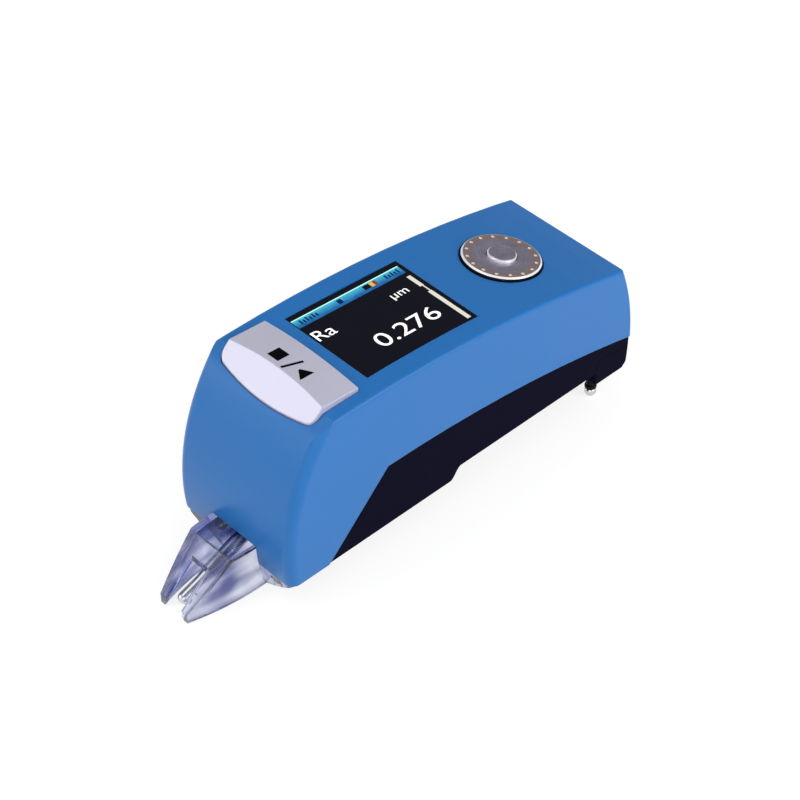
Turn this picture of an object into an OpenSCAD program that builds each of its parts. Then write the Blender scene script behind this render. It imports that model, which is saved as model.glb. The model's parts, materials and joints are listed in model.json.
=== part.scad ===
// Handheld surface roughness tester: arched housing, black base, clear nose, sliding pickup.
// Millimetres. The nose points to -X, +Z is up and the work surface is z = 0.

/* [Overall] */
// Length from the nose tip to the rear end
overall_l = 170; // [164:1:178]
// Width of the housing
body_w = 50; // [49:0.5:56]
// Height of the crest of the top above the work surface
body_h = 66.5; // [65:0.5:72]
// Height of the base underside above the work surface
ride_h = 10.8; // [10:0.1:12]
// Reach of the clear nose ahead of the housing front
nose_l = 24; // [23:0.5:26]

/* [Housing] */
// Wall of the housing and of the base
wall = 2; // [1.6:0.1:2.4]
// Radius of the long arch of the top
top_r = 449; // [400:1:600]
// Distance from the front face back to the crest of the arch
apex_back = 27.7; // [20:0.1:34]
// Radius of the curved front face
front_r = 74; // [70:1:80]
// Radius of the curved rear face
rear_r = 85; // [78:1:100]
// Rounding of the long top edges
top_edge_r = 1.2; // [0.6:0.1:2]
// Rounding of the upright front corners
front_edge_r = 3.2; // [2:0.1:5]
// Rounding of the upright rear corners
rear_edge_r = 1; // [1:0.1:5]
// Length of the flat brow where the top turns into the front
brow_l = 5.2; // [2:0.1:7]
// Radius by which the brow flows into the front face
brow_r = 14; // [10:1:20]
// Distance from the front face to the foot of the joint with the base
split_foot = 15.5; // [14:0.1:18]
// Distance from the front face to the knee of the joint with the base
split_knee = 39.5; // [36:0.1:44]
// Height of the knee above the base underside
split_knee_h = 24.5; // [22:0.1:28]
// Height of the joint above the base underside at the rear end
split_rear_h = 11.2; // [11:0.1:14]

/* [Base] */
// Step in of the base sides from the housing sides
base_inset = 0.4; // [0.2:0.1:0.8]
// Floor of the base
floor_t = 2; // [1.8:0.1:2.2]
// Distance from the front face to the end of the front pad
pad_end = 65.8; // [64:0.1:68]
// Length of the soft step behind the pad
step_l = 4.5; // [3:0.1:6]
// Height of the relief behind the pad
relief_h = 4.1; // [3.8:0.1:4.6]

/* [Start button] */
// Half width of the button
btn_half = 20.4; // [18:0.1:21]
// Distance from the front face to the rear edge of the button
btn_rear = 32.8; // [31:0.1:34]
// Distance from the front face to the ridge between its two facets
btn_ridge = 19.6; // [18:0.1:22]
// Distance from the front face to the lowest point of its front facet
btn_low = 12.5; // [11:0.1:13.5]
// How far its front outline bows forward between the two ends
btn_bow = 2; // [1.5:0.1:4]
// Rounding of the ends of its front outline
btn_corner_r = 3; // [2:0.1:4]
// Height of the ridge above the crest of the housing
btn_proud = 3.1; // [2:0.1:4]
// Radius of its crown across the width
btn_crown_r = 143; // [110:1:220]
// Travel of the button
btn_travel = 0.8; // [0.4:0.1:1]

/* [Display] */
// Length of the window
win_l = 44.8; // [42:0.1:45.5]
// Width of the window
win_w = 35.5; // [32:0.1:36]
// Distance from the front face to the middle of the window
win_back = 60.6; // [60:0.1:62]
// Thickness of the window
win_t = 1.6; // [1:0.1:1.8]

/* [Dial] */
// Radius of the dial
dial_r = 12.7; // [10:0.1:13]
// Distance from the rear end to the middle of the dial
dial_back = 35.2; // [34:0.1:38]
// Height of the dial above the housing
dial_proud = 1.1; // [0.6:0.1:1.6]
// Radius of the middle button
select_r = 4.6; // [3.6:0.1:5]
// Travel of the middle button
select_travel = 0.5; // [0.3:0.1:0.6]
// Number of dimples around the dial
dimple_count = 16; // [12:1:24]

/* [Nose] */
// Half width of the nose at its root
nose_root_half = 9.8; // [9:0.1:10.5]
// Half width of the nose at its tip
nose_tip_half = 6.1; // [5.8:0.1:7]
// Height of the flat part of its roof above the work surface
nose_roof_z = 18; // [17:0.1:19]
// Height of its front edge above the work surface
nose_tip_z = 3.5; // [3:0.1:5]
// Wall of the nose
nose_wall = 1.8; // [1.4:0.1:2.2]

/* [Drive] */
// Traverse of the pickup
traverse = 17.5; // [12:0.5:18]
// Radius of the guide rods
rod_r = 1.5; // [1.2:0.1:2]
// Radius of the lead screw
screw_r = 2; // [1.6:0.1:2.2]
// Radius of the motor and of its gearbox
motor_r = 6; // [5:0.1:6.2]
// Slope of the pickup below the horizontal
pickup_tilt = 20.5; // [19:0.1:20.6]

/* [Rear feet] */
// Radius of the foot balls
ball_r = 2; // [1.7:0.1:2.4]
// Radius of the foot posts
post_r = 1.6; // [1.3:0.1:1.8]
// Sideways distance of each foot from the middle
foot_y = 19.3; // [17:0.1:19.6]
// Distance from the rear end to the feet
foot_back = 11.5; // [10.5:0.1:11.6]

/* [Hidden] */
$fn = 64;

fit = 0.3;
run = 0.04;
snug = 0.02;
joint_gap = 0.15;
tip_x = -overall_l / 2;
rear_x = overall_l / 2;
front_x = tip_x + nose_l;
half_w = body_w / 2;
apex_x = front_x + apex_back;
front_axis_x = front_x + front_r;
front_axis_z = ride_h + 10.2;
rear_axis_x = rear_x - rear_r;
rear_axis_z = ride_h + 10;
split_x1 = front_x + split_foot;
split_x2 = front_x + split_knee;
split_z2 = ride_h + split_knee_h;
split_z3 = ride_h + split_rear_h;
split_r = (pow(rear_x - split_x2, 2) + pow(split_z2 - split_z3, 2)) / (2 * (split_z2 - split_z3));
split_lean = (split_x2 - split_x1) / (split_z2 - ride_h);
base_half = half_w - base_inset;
floor_z = ride_h + floor_t;
pad_end_x = front_x + pad_end;
relief_x = pad_end_x + step_l;
relief_z = ride_h + relief_h;
relief_floor = relief_z + floor_t;
win_x = front_x + win_back;
dial_x = rear_x - dial_back;
btn_rear_x = front_x + btn_rear;
btn_ridge_x = front_x + btn_ridge;
btn_low_x = front_x + btn_low;
btn_arc_r = (btn_half * btn_half + btn_bow * btn_bow) / (2 * btn_bow);
btn_ridge_z = body_h + btn_proud;
btn_low_z = front_axis_z + sqrt(front_r * front_r - pow(front_axis_x - btn_low_x, 2)) + 0.1;
btn_x = btn_rear_x - 7.8;
board_top = body_h - 12.5;
board_t = 1.6;
board_half = half_w - 5;
glass_top = -0.6;
seat_n = glass_top - win_t - 0.3;
hub_r = select_r + 1.5;
rotor_r = hub_r + 3;
dial_floor = -2.2;
dial_board_n = -13.6;
stem_n = -10.4;
slot_half = 5;
frame_half = 14;
frame_t = 1.7;
frame_top = floor_z + frame_t;
rod_z = floor_z + 6.4;
rod_y = 10;
screw_z = floor_z + 11.8;
pivot_x = front_x + 17.5;
pivot_z = floor_z + 4.7;
car_front = pivot_x + 2.6;
car_rear = car_front + 13.5;
plate_t = 2.5;
frame_front = front_x + 10.5;
frame_rear = min(pad_end_x - 1.4, car_rear + traverse + 15);
frame_screw_x = frame_rear - 4.6;
journal_r = screw_r - 0.5;
coup_x = frame_rear + 1.2;
insert_x = rear_x - 26;
insert_r = 3.6;
insert_boss_r = insert_r + 1.8;
gear_x = coup_x + 9.5;
motor_x = gear_x + 11;
motor_end = min(motor_x + 19, insert_x - insert_boss_r - 1.5);
cradle_x = gear_x + 2;
cradle_end = motor_end - 3;
cradle_top = screw_z - 1;
tray_z = screw_z + motor_r + 3.6;
tray_t = 1.4;
tray_x1 = pad_end_x - 21;
tray_x2 = dial_x - 9.5;
post_x = [pad_end_x - 15, tray_x2 - 4];
post_y = half_w - 6.4;
tray_wall_t = 1.2;
tray_wall_y = post_y - 3;
tray_wall_h = 5;
battery_h = 9.5;
boss_y = half_w - 6;
boss_x = [front_x + 14, rear_x - 23];
boss_floor = [floor_z, relief_floor];
boss_web = [floor_z + 4, split_at(boss_x[1] - 1) + 0.6];
nose_top = ride_h;
nose_back = front_x + 9;
nose_root_x = front_x + 4;
nose_arc_r = 90;
nose_knee_x = tip_x + (nose_roof_z - nose_tip_z) / tan(43);
notch_half = nose_root_half + fit;
carrier_x = rear_x - 15.4;
carrier_z = ride_h - 0.8;
lip = 1.5;
foot_x = rear_x - foot_back;
insert_hole_r = 2.1;
insert_l = 8;
skid_r = 1.8;
skid_u = 39.4;
skid_w = (skid_r + 0.1 - pivot_z + skid_u * sin(pickup_tilt)) / cos(pickup_tilt);
stylus_u = 36.2;
stylus_end = (0.12 - pivot_z + stylus_u * sin(pickup_tilt)) / cos(pickup_tilt);
lever_w = -2.3;
lever_pin_u = 21;

function arch_z(x) = body_h - top_r + sqrt(top_r * top_r - (x - apex_x) * (x - apex_x));
function arch_a(x) = asin((x - apex_x) / top_r);
function front_at(z) = front_axis_x - sqrt(front_r * front_r - (z - front_axis_z) * (z - front_axis_z));
function split_at(x) = split_z2 - split_r + sqrt(split_r * split_r - (x - split_x2) * (x - split_x2));

module box(x0, x1, y0, y1, z0, z1) {
  translate([x0, y0, z0])
    cube([x1 - x0, y1 - y0, z1 - z0]);
}

module rod_x(r, x0, x1, y, z) {
  translate([x0, y, z])
    rotate([0, 90, 0])
      cylinder(r = r, h = x1 - x0);
}

module rod_across(r, l, x, z) {
  translate([x, 0, z])
    rotate([90, 0, 0])
      cylinder(r = r, h = l, center = true);
}

module rod_up(r, z0, z1, x, y) {
  translate([x, y, z0])
    cylinder(r = r, h = z1 - z0);
}

// A side view drawn in x and z, carried across the width.
module side(w) {
  rotate([90, 0, 0])
    linear_extrude(w, center = true)
      children();
}

module on_top(x) {
  translate([x, 0, arch_z(x)])
    rotate([0, arch_a(x), 0])
      children();
}

module on_pickup() {
  translate([pivot_x, 0, pivot_z])
    rotate([0, -pickup_tilt, 0])
      children();
}

// Countersunk screw with its head face at z0, shank going up.
module screw_up(x, y, z0, l, grow) {
  translate([x, y, z0])
    cylinder(r1 = 2.2 + grow, r2 = 1.1 + grow, h = 1.2);
  translate([x, y, z0])
    cylinder(r = 1.1 + grow, h = l);
}

// Pan screw with its head under z0, shank going up.
module pan_up(x, y, z0, l, head) {
  rod_up(1.7, z0 - head, z0, x, y);
  rod_up(0.9, z0 - 0.2, z0 + l, x, y);
}

// Pan screw with its head on top of z0, shank going down.
module pan_down(x, y, z0, l, head) {
  rod_up(1.7, z0, z0 + head, x, y);
  rod_up(0.9, z0 - l, z0 + 0.2, x, y);
}

// Rounded wheel section: the rim has two quarter rounds of radius edge.
module wheel(r, depth, w, edge, from, sweep) {
  rotate([90, 0, 0])
    rotate([0, 0, from])
      rotate_extrude(angle = sweep, $fn = 220) {
        translate([r - depth, -w / 2])
          square([depth - edge, w]);
        translate([r - depth, -w / 2 + edge])
          square([depth, w - 2 * edge]);
        translate([r - edge, w / 2 - edge])
          circle(edge, $fn = 32);
        translate([r - edge, -w / 2 + edge])
          circle(edge, $fn = 32);
      }
}

module rear_bound(inset, edge) {
  translate([rear_axis_x, 0, rear_axis_z])
    wheel(rear_r - inset, rear_r - 5 - inset, body_w - 2 * inset, edge, -90, 180);
  box(front_x - 20, rear_axis_x + 6, -half_w + inset, half_w - inset, rear_axis_z - 60, rear_axis_z + 60);
}

// The solid body: the arch of the top meets the front wheel and the rear wheel.
module body_outer() {
  intersection() {
    translate([apex_x, 0, body_h - top_r])
      wheel(top_r, 90, body_w, top_edge_r, 70, 40);
    translate([front_axis_x, 0, front_axis_z])
      wheel(front_r, front_r - 0.5, body_w, front_edge_r, 90, 180);
  }
  intersection() {
    translate([apex_x, 0, body_h - top_r])
      wheel(top_r, 90, body_w, top_edge_r, 70, 40);
    translate([rear_axis_x, 0, rear_axis_z])
      wheel(rear_r, rear_r - 0.5, body_w, rear_edge_r, -90, 180);
    box(front_axis_x - 0.6, rear_x + 9, -half_w - 3, half_w + 3, -60, body_h + 60);
  }
}

module cavity() {
  w = body_w - 2 * wall;
  intersection() {
    rod_across(top_r - wall, w, apex_x, body_h - top_r, $fn = 220);
    union() {
      rod_across(front_r - wall, w, front_axis_x, front_axis_z, $fn = 200);
      box(front_axis_x, rear_x + 20, -w / 2, w / 2, front_axis_z - 50, front_axis_z + 50);
    }
    union() {
      rod_across(rear_r - wall, w, rear_axis_x, rear_axis_z, $fn = 200);
      box(front_x - 20, rear_axis_x, -w / 2, w / 2, rear_axis_z - 50, rear_axis_z + 50);
    }
  }
}

// The joint with the base climbs to its knee in a straight line, then follows a long arch to the rear.
module below_split() {
  intersection() {
    side(body_w + 12)
      polygon([[split_x1 - 6 * split_lean, ride_h - 6], [rear_x + 8, ride_h - 6],
        [rear_x + 8, split_z2 + 6], [split_x2 + 6 * split_lean, split_z2 + 6]]);
    rod_across(split_r, body_w + 12, split_x2, split_z2 - split_r, $fn = 220);
  }
}

module above_split() {
  difference() {
    box(front_x - 6, rear_x + 6, -half_w - 5, half_w + 5, ride_h, body_h + 20);
    below_split();
  }
}

// The flat brow: everything in front of a line from the top to the front face.
module brow() {
  ax = front_at(body_h) + brow_l * 0.65;
  az = arch_z(ax);
  bz = body_h - brow_l * 0.62;
  bx = front_at(bz);
  dx = ax - bx;
  dz = az - bz;
  l = sqrt(dx * dx + dz * dz);
  t = [dx / l, dz / l];
  n = [-t[1], t[0]];
  o = [bx - front_axis_x, bz - front_axis_z] - brow_r * n;
  along = -o * t - sqrt(pow(o * t, 2) - o * o + pow(front_r - brow_r, 2));
  q = [bx, bz] - brow_r * n + along * t;
  m = (q - [front_axis_x, front_axis_z]) / (front_r - brow_r);
  side(body_w + 10) {
    polygon([[bx - dx, bz - dz], [ax + dx, az + dz], [ax, az + 20], [bx - 20, az + 20]]);
    difference() {
      polygon([q, q + (brow_r + 3) * n, q + (brow_r + 3) * m]);
      translate(q)
        circle(brow_r, $fn = 120);
    }
  }
}

module btn_plan(shrink) {
  reach = btn_arc_r - btn_corner_r;
  cy = btn_half - btn_corner_r;
  run_x = sqrt(reach * reach - cy * cy);
  cx = btn_low_x + btn_arc_r - run_x;
  r = btn_corner_r - shrink;
  difference() {
    intersection() {
      translate([btn_low_x + btn_arc_r, 0])
        circle(btn_arc_r - shrink, $fn = 180);
      translate([btn_low_x - 5, -btn_half + shrink])
        square([btn_rear_x - shrink - btn_low_x + 5, 2 * (btn_half - shrink)]);
    }
    for (sy = [-1, 1])
      translate([cx, sy * cy])
        difference() {
          polygon([[0, 0], [0, sy * (r + 4)], [-run_x / reach, sy * cy / reach] * (r + 4)]);
          circle(r, $fn = 48);
        }
  }
}

module window_frame() {
  on_top(win_x)
    box(-win_l / 2 - 2.2, win_l / 2 + 2.2, -win_w / 2 - 2.2, win_w / 2 + 2.2, seat_n - 1.6, -1.4);
}

module top_housing() {
  color([0.16, 0.38, 0.68])
    difference() {
      union() {
        difference() {
          intersection() {
            body_outer();
            above_split();
          }
          cavity();
          brow();
        }
        window_frame();
        on_top(dial_x)
          translate([0, 0, dial_floor - 2])
            cylinder(r = dial_r + 2.6, h = -dial_floor + 0.8);
        for (sx = [-1, 1])
          for (sy = [-1, 1])
            rod_up(2.1, board_top, arch_z(win_x + sx * 25) - 1, win_x + sx * 25, sy * 15);
        on_top(dial_x)
          for (sy = [-1, 1])
            translate([0, sy * 14, dial_board_n])
              cylinder(r = 1.9, h = -dial_board_n - 3);
        for (i = [0, 1])
          for (sy = [-1, 1]) {
            rod_up(3, boss_floor[i] + joint_gap, boss_floor[i] + 24, boss_x[i], sy * boss_y);
            translate([boss_x[i] - 1, sy > 0 ? boss_y : -half_w + wall / 2, boss_web[i]])
              cube([2, half_w - wall / 2 - boss_y, boss_floor[i] + 24 - boss_web[i]]);
          }
      }
      on_top(win_x) {
        box(-win_l / 2 - 0.1, win_l / 2 + 0.1, -win_w / 2 - 0.1, win_w / 2 + 0.1, seat_n, 6);
        box(-win_l / 2 + 2.6, win_l / 2 - 2.6, -win_w / 2 + 2.6, win_w / 2 - 2.6, seat_n - 6, 6);
      }
      on_top(dial_x) {
        translate([0, 0, dial_floor])
          cylinder(r = dial_r + 0.6, h = 8, $fn = 96);
        translate([0, 0, dial_floor - 6])
          cylinder(r = hub_r + run, h = 10);
        for (sy = [-1, 1])
          translate([0, sy * 14, dial_board_n - 1])
            cylinder(r = 0.9 + snug, h = 6);
      }
      translate([0, 0, btn_low_z - 8])
        linear_extrude(40)
          btn_plan(0);
      box(front_x - 3, front_x + 6, -notch_half, notch_half, ride_h - 3, nose_roof_z + fit);
      for (sx = [-1, 1])
        for (sy = [-1, 1])
          rod_up(0.9 + snug, board_top - 1, board_top + 4.5, win_x + sx * 25, sy * 15);
      for (i = [0, 1])
        for (sy = [-1, 1])
          rod_up(1.1 + snug, boss_floor[i] - 1, boss_floor[i] + 9, boss_x[i], sy * boss_y);
    }
}

module start_button() {
  slope = atan((btn_ridge_z - btn_low_z) / (btn_ridge_x - btn_low_x));
  color([0.80, 0.79, 0.84])
    difference() {
      union() {
        difference() {
          translate([0, 0, btn_low_z - 2])
            linear_extrude(btn_ridge_z - btn_low_z + 4)
              btn_plan(fit);
          difference() {
            box(btn_low_x - 8, btn_rear_x + 8, -half_w, half_w, btn_low_z - 9, btn_ridge_z + 8);
            translate([btn_ridge_x, 0, btn_ridge_z - btn_crown_r])
              rotate([0, 94.7, 0])
                cylinder(r = btn_crown_r, h = 80, center = true, $fn = 240);
          }
          translate([btn_ridge_x, 0, btn_ridge_z])
            rotate([0, -slope, 0])
              box(-40, 40, -half_w, half_w, 0, 30);
          box(btn_low_x + 5, btn_rear_x - 2.4, -btn_half + 2.4, btn_half - 2.4, btn_low_z - 9, body_h - 2.5);
        }
        for (sy = [-1, 1])
          box(btn_ridge_x + 3, btn_rear_x - 2, sy * (btn_half + 0.3) - 1, sy * (btn_half + 0.3) + 1,
            body_h - wall - 3.4, body_h - wall - 1.5);
        rod_up(2.4, board_top + 4.9, body_h - 2, btn_x, 0);
      }
    }
}

module start_plunger() {
  color([0.2, 0.2, 0.2])
    rod_up(1.5, board_top + 2, board_top + 4.9, btn_x, 0);
}

module start_switch() {
  color([0.15, 0.15, 0.16])
    difference() {
      box(btn_x - 3.1, btn_x + 3.1, -3.1, 3.1, board_top, board_top + 3.6);
      rod_up(1.5 + run, board_top + 0.9, board_top + 6, btn_x, 0);
    }
}

module display_window() {
  color([0.05, 0.05, 0.08, 0.6])
    on_top(win_x)
      box(-win_l / 2 + 0.05, win_l / 2 - 0.05, -win_w / 2 + 0.05, win_w / 2 - 0.05,
        glass_top - win_t, glass_top);
}

module display_seal() {
  color([0.1, 0.1, 0.1])
    on_top(win_x)
      difference() {
        box(-win_l / 2 + 0.3, win_l / 2 - 0.3, -win_w / 2 + 0.3, win_w / 2 - 0.3, seat_n, glass_top - win_t);
        box(-win_l / 2 + 2.6, win_l / 2 - 2.6, -win_w / 2 + 2.6, win_w / 2 - 2.6, seat_n - 1, 1);
      }
}

module display_panel() {
  color([0.12, 0.12, 0.14])
    on_top(win_x)
      box(-win_l / 2 + 0.4, win_l / 2 - 0.4, -win_w / 2 - 0.6, win_w / 2 + 0.6, seat_n - 4.6, seat_n - 1.6);
}

module main_board() {
  x0 = btn_x - 4.4;
  x1 = win_x + 29;
  color([0.1, 0.32, 0.18])
    difference() {
      union() {
        box(x0, x1, -board_half, board_half, board_top - board_t, board_top);
        box(win_x - 8, win_x + 6, -7, 7, board_top - board_t - 1.2, board_top - board_t + 0.2);
        box(win_x + 10, win_x + 18, -12, -6, board_top - board_t - 1.4, board_top - board_t + 0.2);
        box(win_x - 18, win_x - 12, 4, 13, board_top - board_t - 1.4, board_top - board_t + 0.2);
      }
      for (sx = [-1, 1])
        for (sy = [-1, 1])
          rod_up(0.9 + snug, board_top - 4, board_top + 1, win_x + sx * 25, sy * 15);
      on_top(dial_x)
        translate([0, 0, dial_board_n])
          cylinder(r = rotor_r + 2 * fit, h = -dial_board_n);
    }
}

module board_screws() {
  color([0.7, 0.7, 0.72])
    for (sx = [-1, 1])
      for (sy = [-1, 1])
        pan_up(win_x + sx * 25, sy * 15, board_top - board_t, 5, 1.2);
}

module jog_dial() {
  color([0.62, 0.58, 0.55])
    on_top(dial_x)
      difference() {
        union() {
          translate([0, 0, dial_floor + fit])
            cylinder(r = dial_r, h = dial_proud - dial_floor - fit - 0.5, $fn = 128);
          translate([0, 0, dial_proud - 0.5])
            cylinder(r1 = dial_r, r2 = dial_r - 0.5, h = 0.5, $fn = 128);
          translate([0, 0, dial_floor - 5.6])
            cylinder(r = hub_r, h = 6);
        }
        translate([0, 0, dial_floor - 7])
          cylinder(r = 2.4 + fit, h = 20);
        translate([0, 0, -0.9])
          cylinder(r = select_r + fit, h = 20);
        for (i = [0:dimple_count - 1])
          rotate([0, 0, i * 360 / dimple_count + 13.6])
            translate([dial_r - 1.75, 0, dial_proud + 0.14])
              sphere(0.62, $fn = 16);
      }
}

module select_button() {
  color([0.72, 0.69, 0.67])
    on_top(dial_x) {
      translate([0, 0, -0.2])
        cylinder(r = select_r, h = dial_proud + 1);
      translate([0, 0, dial_proud + 0.8])
        cylinder(r1 = select_r, r2 = select_r - 0.5, h = 0.4);
      translate([0, 0, stem_n])
        cylinder(r = 2.4, h = 11);
    }
}

module select_plunger() {
  color([0.2, 0.2, 0.2])
    on_top(dial_x)
      translate([0, 0, stem_n - 2])
        cylinder(r = 1.3, h = 2);
}

module select_switch() {
  color([0.15, 0.15, 0.16])
    on_top(dial_x)
      difference() {
        box(-3, 3, -3, 3, dial_board_n, stem_n - 0.8);
        translate([0, 0, dial_board_n + 0.5])
          cylinder(r = 1.3 + run, h = 8);
      }
}

module encoder_rotor() {
  color([0.85, 0.85, 0.86])
    on_top(dial_x)
      difference() {
        translate([0, 0, dial_floor - 6.8])
          cylinder(r = rotor_r, h = 1.2);
        translate([0, 0, dial_floor - 8])
          cylinder(r = 2.4 + fit, h = 4);
      }
}

module encoder_sensor() {
  color([0.12, 0.12, 0.13])
    on_top(dial_x)
      box(5.4, 9.4, -3, 3, dial_board_n, dial_floor - 7.2);
}

module dial_board() {
  color([0.1, 0.32, 0.18])
    on_top(dial_x)
      difference() {
        box(-8, 11, -17, 17, dial_board_n - 1.4, dial_board_n);
        for (sy = [-1, 1])
          translate([0, sy * 14, dial_board_n - 3])
            cylinder(r = 0.9 + snug, h = 6);
      }
}

module dial_screws() {
  color([0.7, 0.7, 0.72])
    on_top(dial_x)
      for (sy = [-1, 1])
        pan_up(0, sy * 14, dial_board_n - 1.4, 5, 1.2);
}

// Lower outline of the base or of its floor: pad, soft step, relief.
function step_line(x0, x1, z0, h) = [for (i = [0:10])
  [x0 + (x1 - x0) * i / 10, z0 + h * (1 - cos(18 * i)) / 2]];

module carrier_outline(grow) {
  polygon([[carrier_x - grow, carrier_z - 3 * grow], [rear_x - 3, carrier_z - 3 * grow],
    [rear_x + 4, carrier_z + 7], [rear_x + 4, split_at(rear_x + 4) - 3.6 + grow],
    [carrier_x + 2 - grow / 2, split_at(carrier_x) - 5.4 + grow],
    [carrier_x - grow, split_at(carrier_x) - 7 + grow / 2]]);
}

// What the carrier wraps around: the narrowed rear end of the base.
module carrier_core(gap) {
  intersection() {
    box(carrier_x - 2, rear_x + 2, -base_half + lip + gap, base_half - lip - gap, relief_z - 2 * gap, body_h);
    rod_across(rear_r - base_inset - lip - gap, body_w, rear_axis_x, rear_axis_z, $fn = 200);
  }
}

module base_housing() {
  core_half = base_half - lip - joint_gap - 1.5;
  color([0.06, 0.06, 0.09])
    difference() {
      union() {
        difference() {
          intersection() {
            side(2 * base_half)
              polygon(concat([[split_x1 + 0.2, ride_h]],
                step_line(pad_end_x, relief_x, ride_h, relief_h),
                [[rear_x + 4, relief_z], [rear_x + 4, split_z2 + 6],
                [split_x2 + 0.2 + 6 * split_lean, split_z2 + 6]]));
            rod_across(split_r - joint_gap, body_w + 12, split_x2, split_z2 - split_r, $fn = 220);
            rear_bound(base_inset, max(rear_edge_r - base_inset, 0.2));
          }
          side(2 * (base_half - wall))
            polygon(concat([[front_x - 9, floor_z]],
              step_line(pad_end_x - 1.2, relief_x - 1.2, floor_z, relief_h),
              [[carrier_x - 3, relief_floor], [carrier_x - 3, body_h], [front_x - 9, body_h]]));
          intersection() {
            box(carrier_x - 4, rear_x, -core_half, core_half, relief_floor, body_h);
            rod_across(rear_r - base_inset - lip - joint_gap - 1.6, body_w,
              rear_axis_x, rear_axis_z, $fn = 200);
          }
          difference() {
            side(body_w + 4)
              carrier_outline(joint_gap);
            carrier_core(joint_gap);
          }
        }
        box(front_x + 3.2, split_x1 + 4, -half_w + wall + fit, half_w - wall - fit, ride_h, floor_z);
        for (sy = [-1, 1]) {
          rod_up(2.3, floor_z - 0.5, tray_z, post_x[0], sy * post_y);
          rod_up(2.3, relief_floor - 0.5, tray_z, post_x[1], sy * post_y);
        }
        rod_up(insert_boss_r, relief_z, relief_z + insert_l, insert_x, 0);
      }
      box(front_x - 2, pivot_x + traverse - 2.5, -slot_half, slot_half, ride_h - 2, floor_z + 2);
      box(front_x - 3, nose_root_x + joint_gap, -notch_half, notch_half, ride_h - 2, floor_z + 2);
      for (i = [0, 1])
        for (sy = [-1, 1])
          screw_up(boss_x[i], sy * boss_y, (i == 0 ? ride_h : relief_z) - 0.01, 6, 0.06);
      for (sy = [-1, 1]) {
        rod_up(1.1 + snug, ride_h - 1, floor_z + 1, front_x + 5.4, sy * 15.5);
        rod_up(post_r + 0.6, relief_z - 1, relief_floor + 1, foot_x, sy * foot_y);
        rod_up(1.1 + snug, relief_z - 1, relief_floor + 1, foot_x + 2, sy * 9);
        for (i = [0, 1])
          rod_up(0.9 + snug, tray_z - 6, tray_z + 1, post_x[i], sy * post_y);
        rod_up(0.9 + snug, ride_h + 0.4, floor_z + 1, frame_screw_x, sy * 11.5);
      }
      rod_up(insert_r, relief_z - 1, relief_z + insert_l + 1, insert_x, 0);
      box(rear_x - 6, rear_x + 4, -4.6, 4.6, relief_floor, relief_floor + 3.7);
      for (dx = [3, 15])
        for (sy = [-1, 1])
          rod_up(0.9 + snug, relief_z + 0.3, relief_floor + 1, cradle_x + dx, sy * 11);
    }
}

module base_screws() {
  color([0.25, 0.25, 0.27])
    for (i = [0, 1])
      for (sy = [-1, 1])
        screw_up(boss_x[i], sy * boss_y, i == 0 ? ride_h : relief_z, 9, 0);
}

module battery_tray() {
  color([0.2, 0.2, 0.22])
    difference() {
      union() {
        box(tray_x1, tray_x2, -post_y - 2.2, post_y + 2.2, tray_z, tray_z + tray_t);
        for (sy = [-1, 1])
          box(tray_x1, tray_x2, sy * tray_wall_y - tray_wall_t / 2, sy * tray_wall_y + tray_wall_t / 2,
            tray_z + 0.2, tray_z + tray_wall_h);
        for (x = [tray_x1, tray_x2 - tray_wall_t])
          box(x, x + tray_wall_t, -tray_wall_y, tray_wall_y, tray_z + 0.2, tray_z + tray_wall_h);
      }
      for (i = [0, 1])
        for (sy = [-1, 1])
          rod_up(0.9 + snug, tray_z - 1, tray_z + 4, post_x[i], sy * post_y);
    }
}

module tray_screws() {
  color([0.7, 0.7, 0.72])
    for (i = [0, 1])
      for (sy = [-1, 1])
        pan_down(post_x[i], sy * post_y, tray_z + tray_t, 6, 1.2);
}

module battery_pack() {
  color([0.75, 0.76, 0.78])
    box(tray_x1 + tray_wall_t + fit, tray_x2 - tray_wall_t - fit, -tray_wall_y + tray_wall_t / 2 + fit,
      tray_wall_y - tray_wall_t / 2 - fit, tray_z + tray_t, tray_z + tray_t + battery_h);
}

module drive_frame() {
  color([0.66, 0.67, 0.7])
    difference() {
      union() {
        box(frame_front, frame_rear, -frame_half, frame_half, floor_z, frame_top);
        box(frame_front, frame_front + plate_t, -frame_half, frame_half, floor_z, screw_z + 5.5);
        box(frame_rear - plate_t, frame_rear, -frame_half, frame_half, floor_z, screw_z + 5.5);
      }
      box(frame_front - 1, car_rear + traverse - 2, -slot_half - 0.6, slot_half + 0.6,
        floor_z - 1, frame_top + 0.1);
      box(frame_front - 1, frame_front + plate_t + 1, -7, 7, floor_z - 1, screw_z - 4);
      rod_x(3.2 + snug, frame_front - 1, frame_front + plate_t + 1, 0, screw_z);
      rod_x(3.2 + snug, frame_rear - plate_t - 1, frame_rear + 1, 0, screw_z);
      for (sy = [-1, 1]) {
        rod_x(rod_r + snug, frame_front - 1, frame_rear + 1, sy * rod_y, rod_z);
        rod_up(0.9 + snug, floor_z - 1, frame_top + 1, frame_screw_x, sy * 11.5);
      }
    }
}

module frame_screws() {
  color([0.7, 0.7, 0.72])
    for (sy = [-1, 1])
      pan_down(frame_screw_x, sy * 11.5, frame_top, frame_t + 1.4, 1.2);
}

module guide_rods() {
  color([0.78, 0.79, 0.8])
    for (sy = [-1, 1])
      rod_x(rod_r, frame_front, frame_rear, sy * rod_y, rod_z);
}

module lead_screw() {
  color([0.75, 0.75, 0.76])
    union() {
      rod_x(screw_r, frame_front + plate_t + 0.4, frame_rear - plate_t - 0.4, 0, screw_z);
      rod_x(journal_r, frame_front, coup_x + 4, 0, screw_z);
    }
}

module screw_bearings() {
  color([0.72, 0.6, 0.3])
    for (x = [frame_front, frame_rear - plate_t])
      difference() {
        rod_x(3.2, x, x + plate_t, 0, screw_z);
        rod_x(journal_r + run, x - 1, x + plate_t + 1, 0, screw_z);
      }
}

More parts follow.
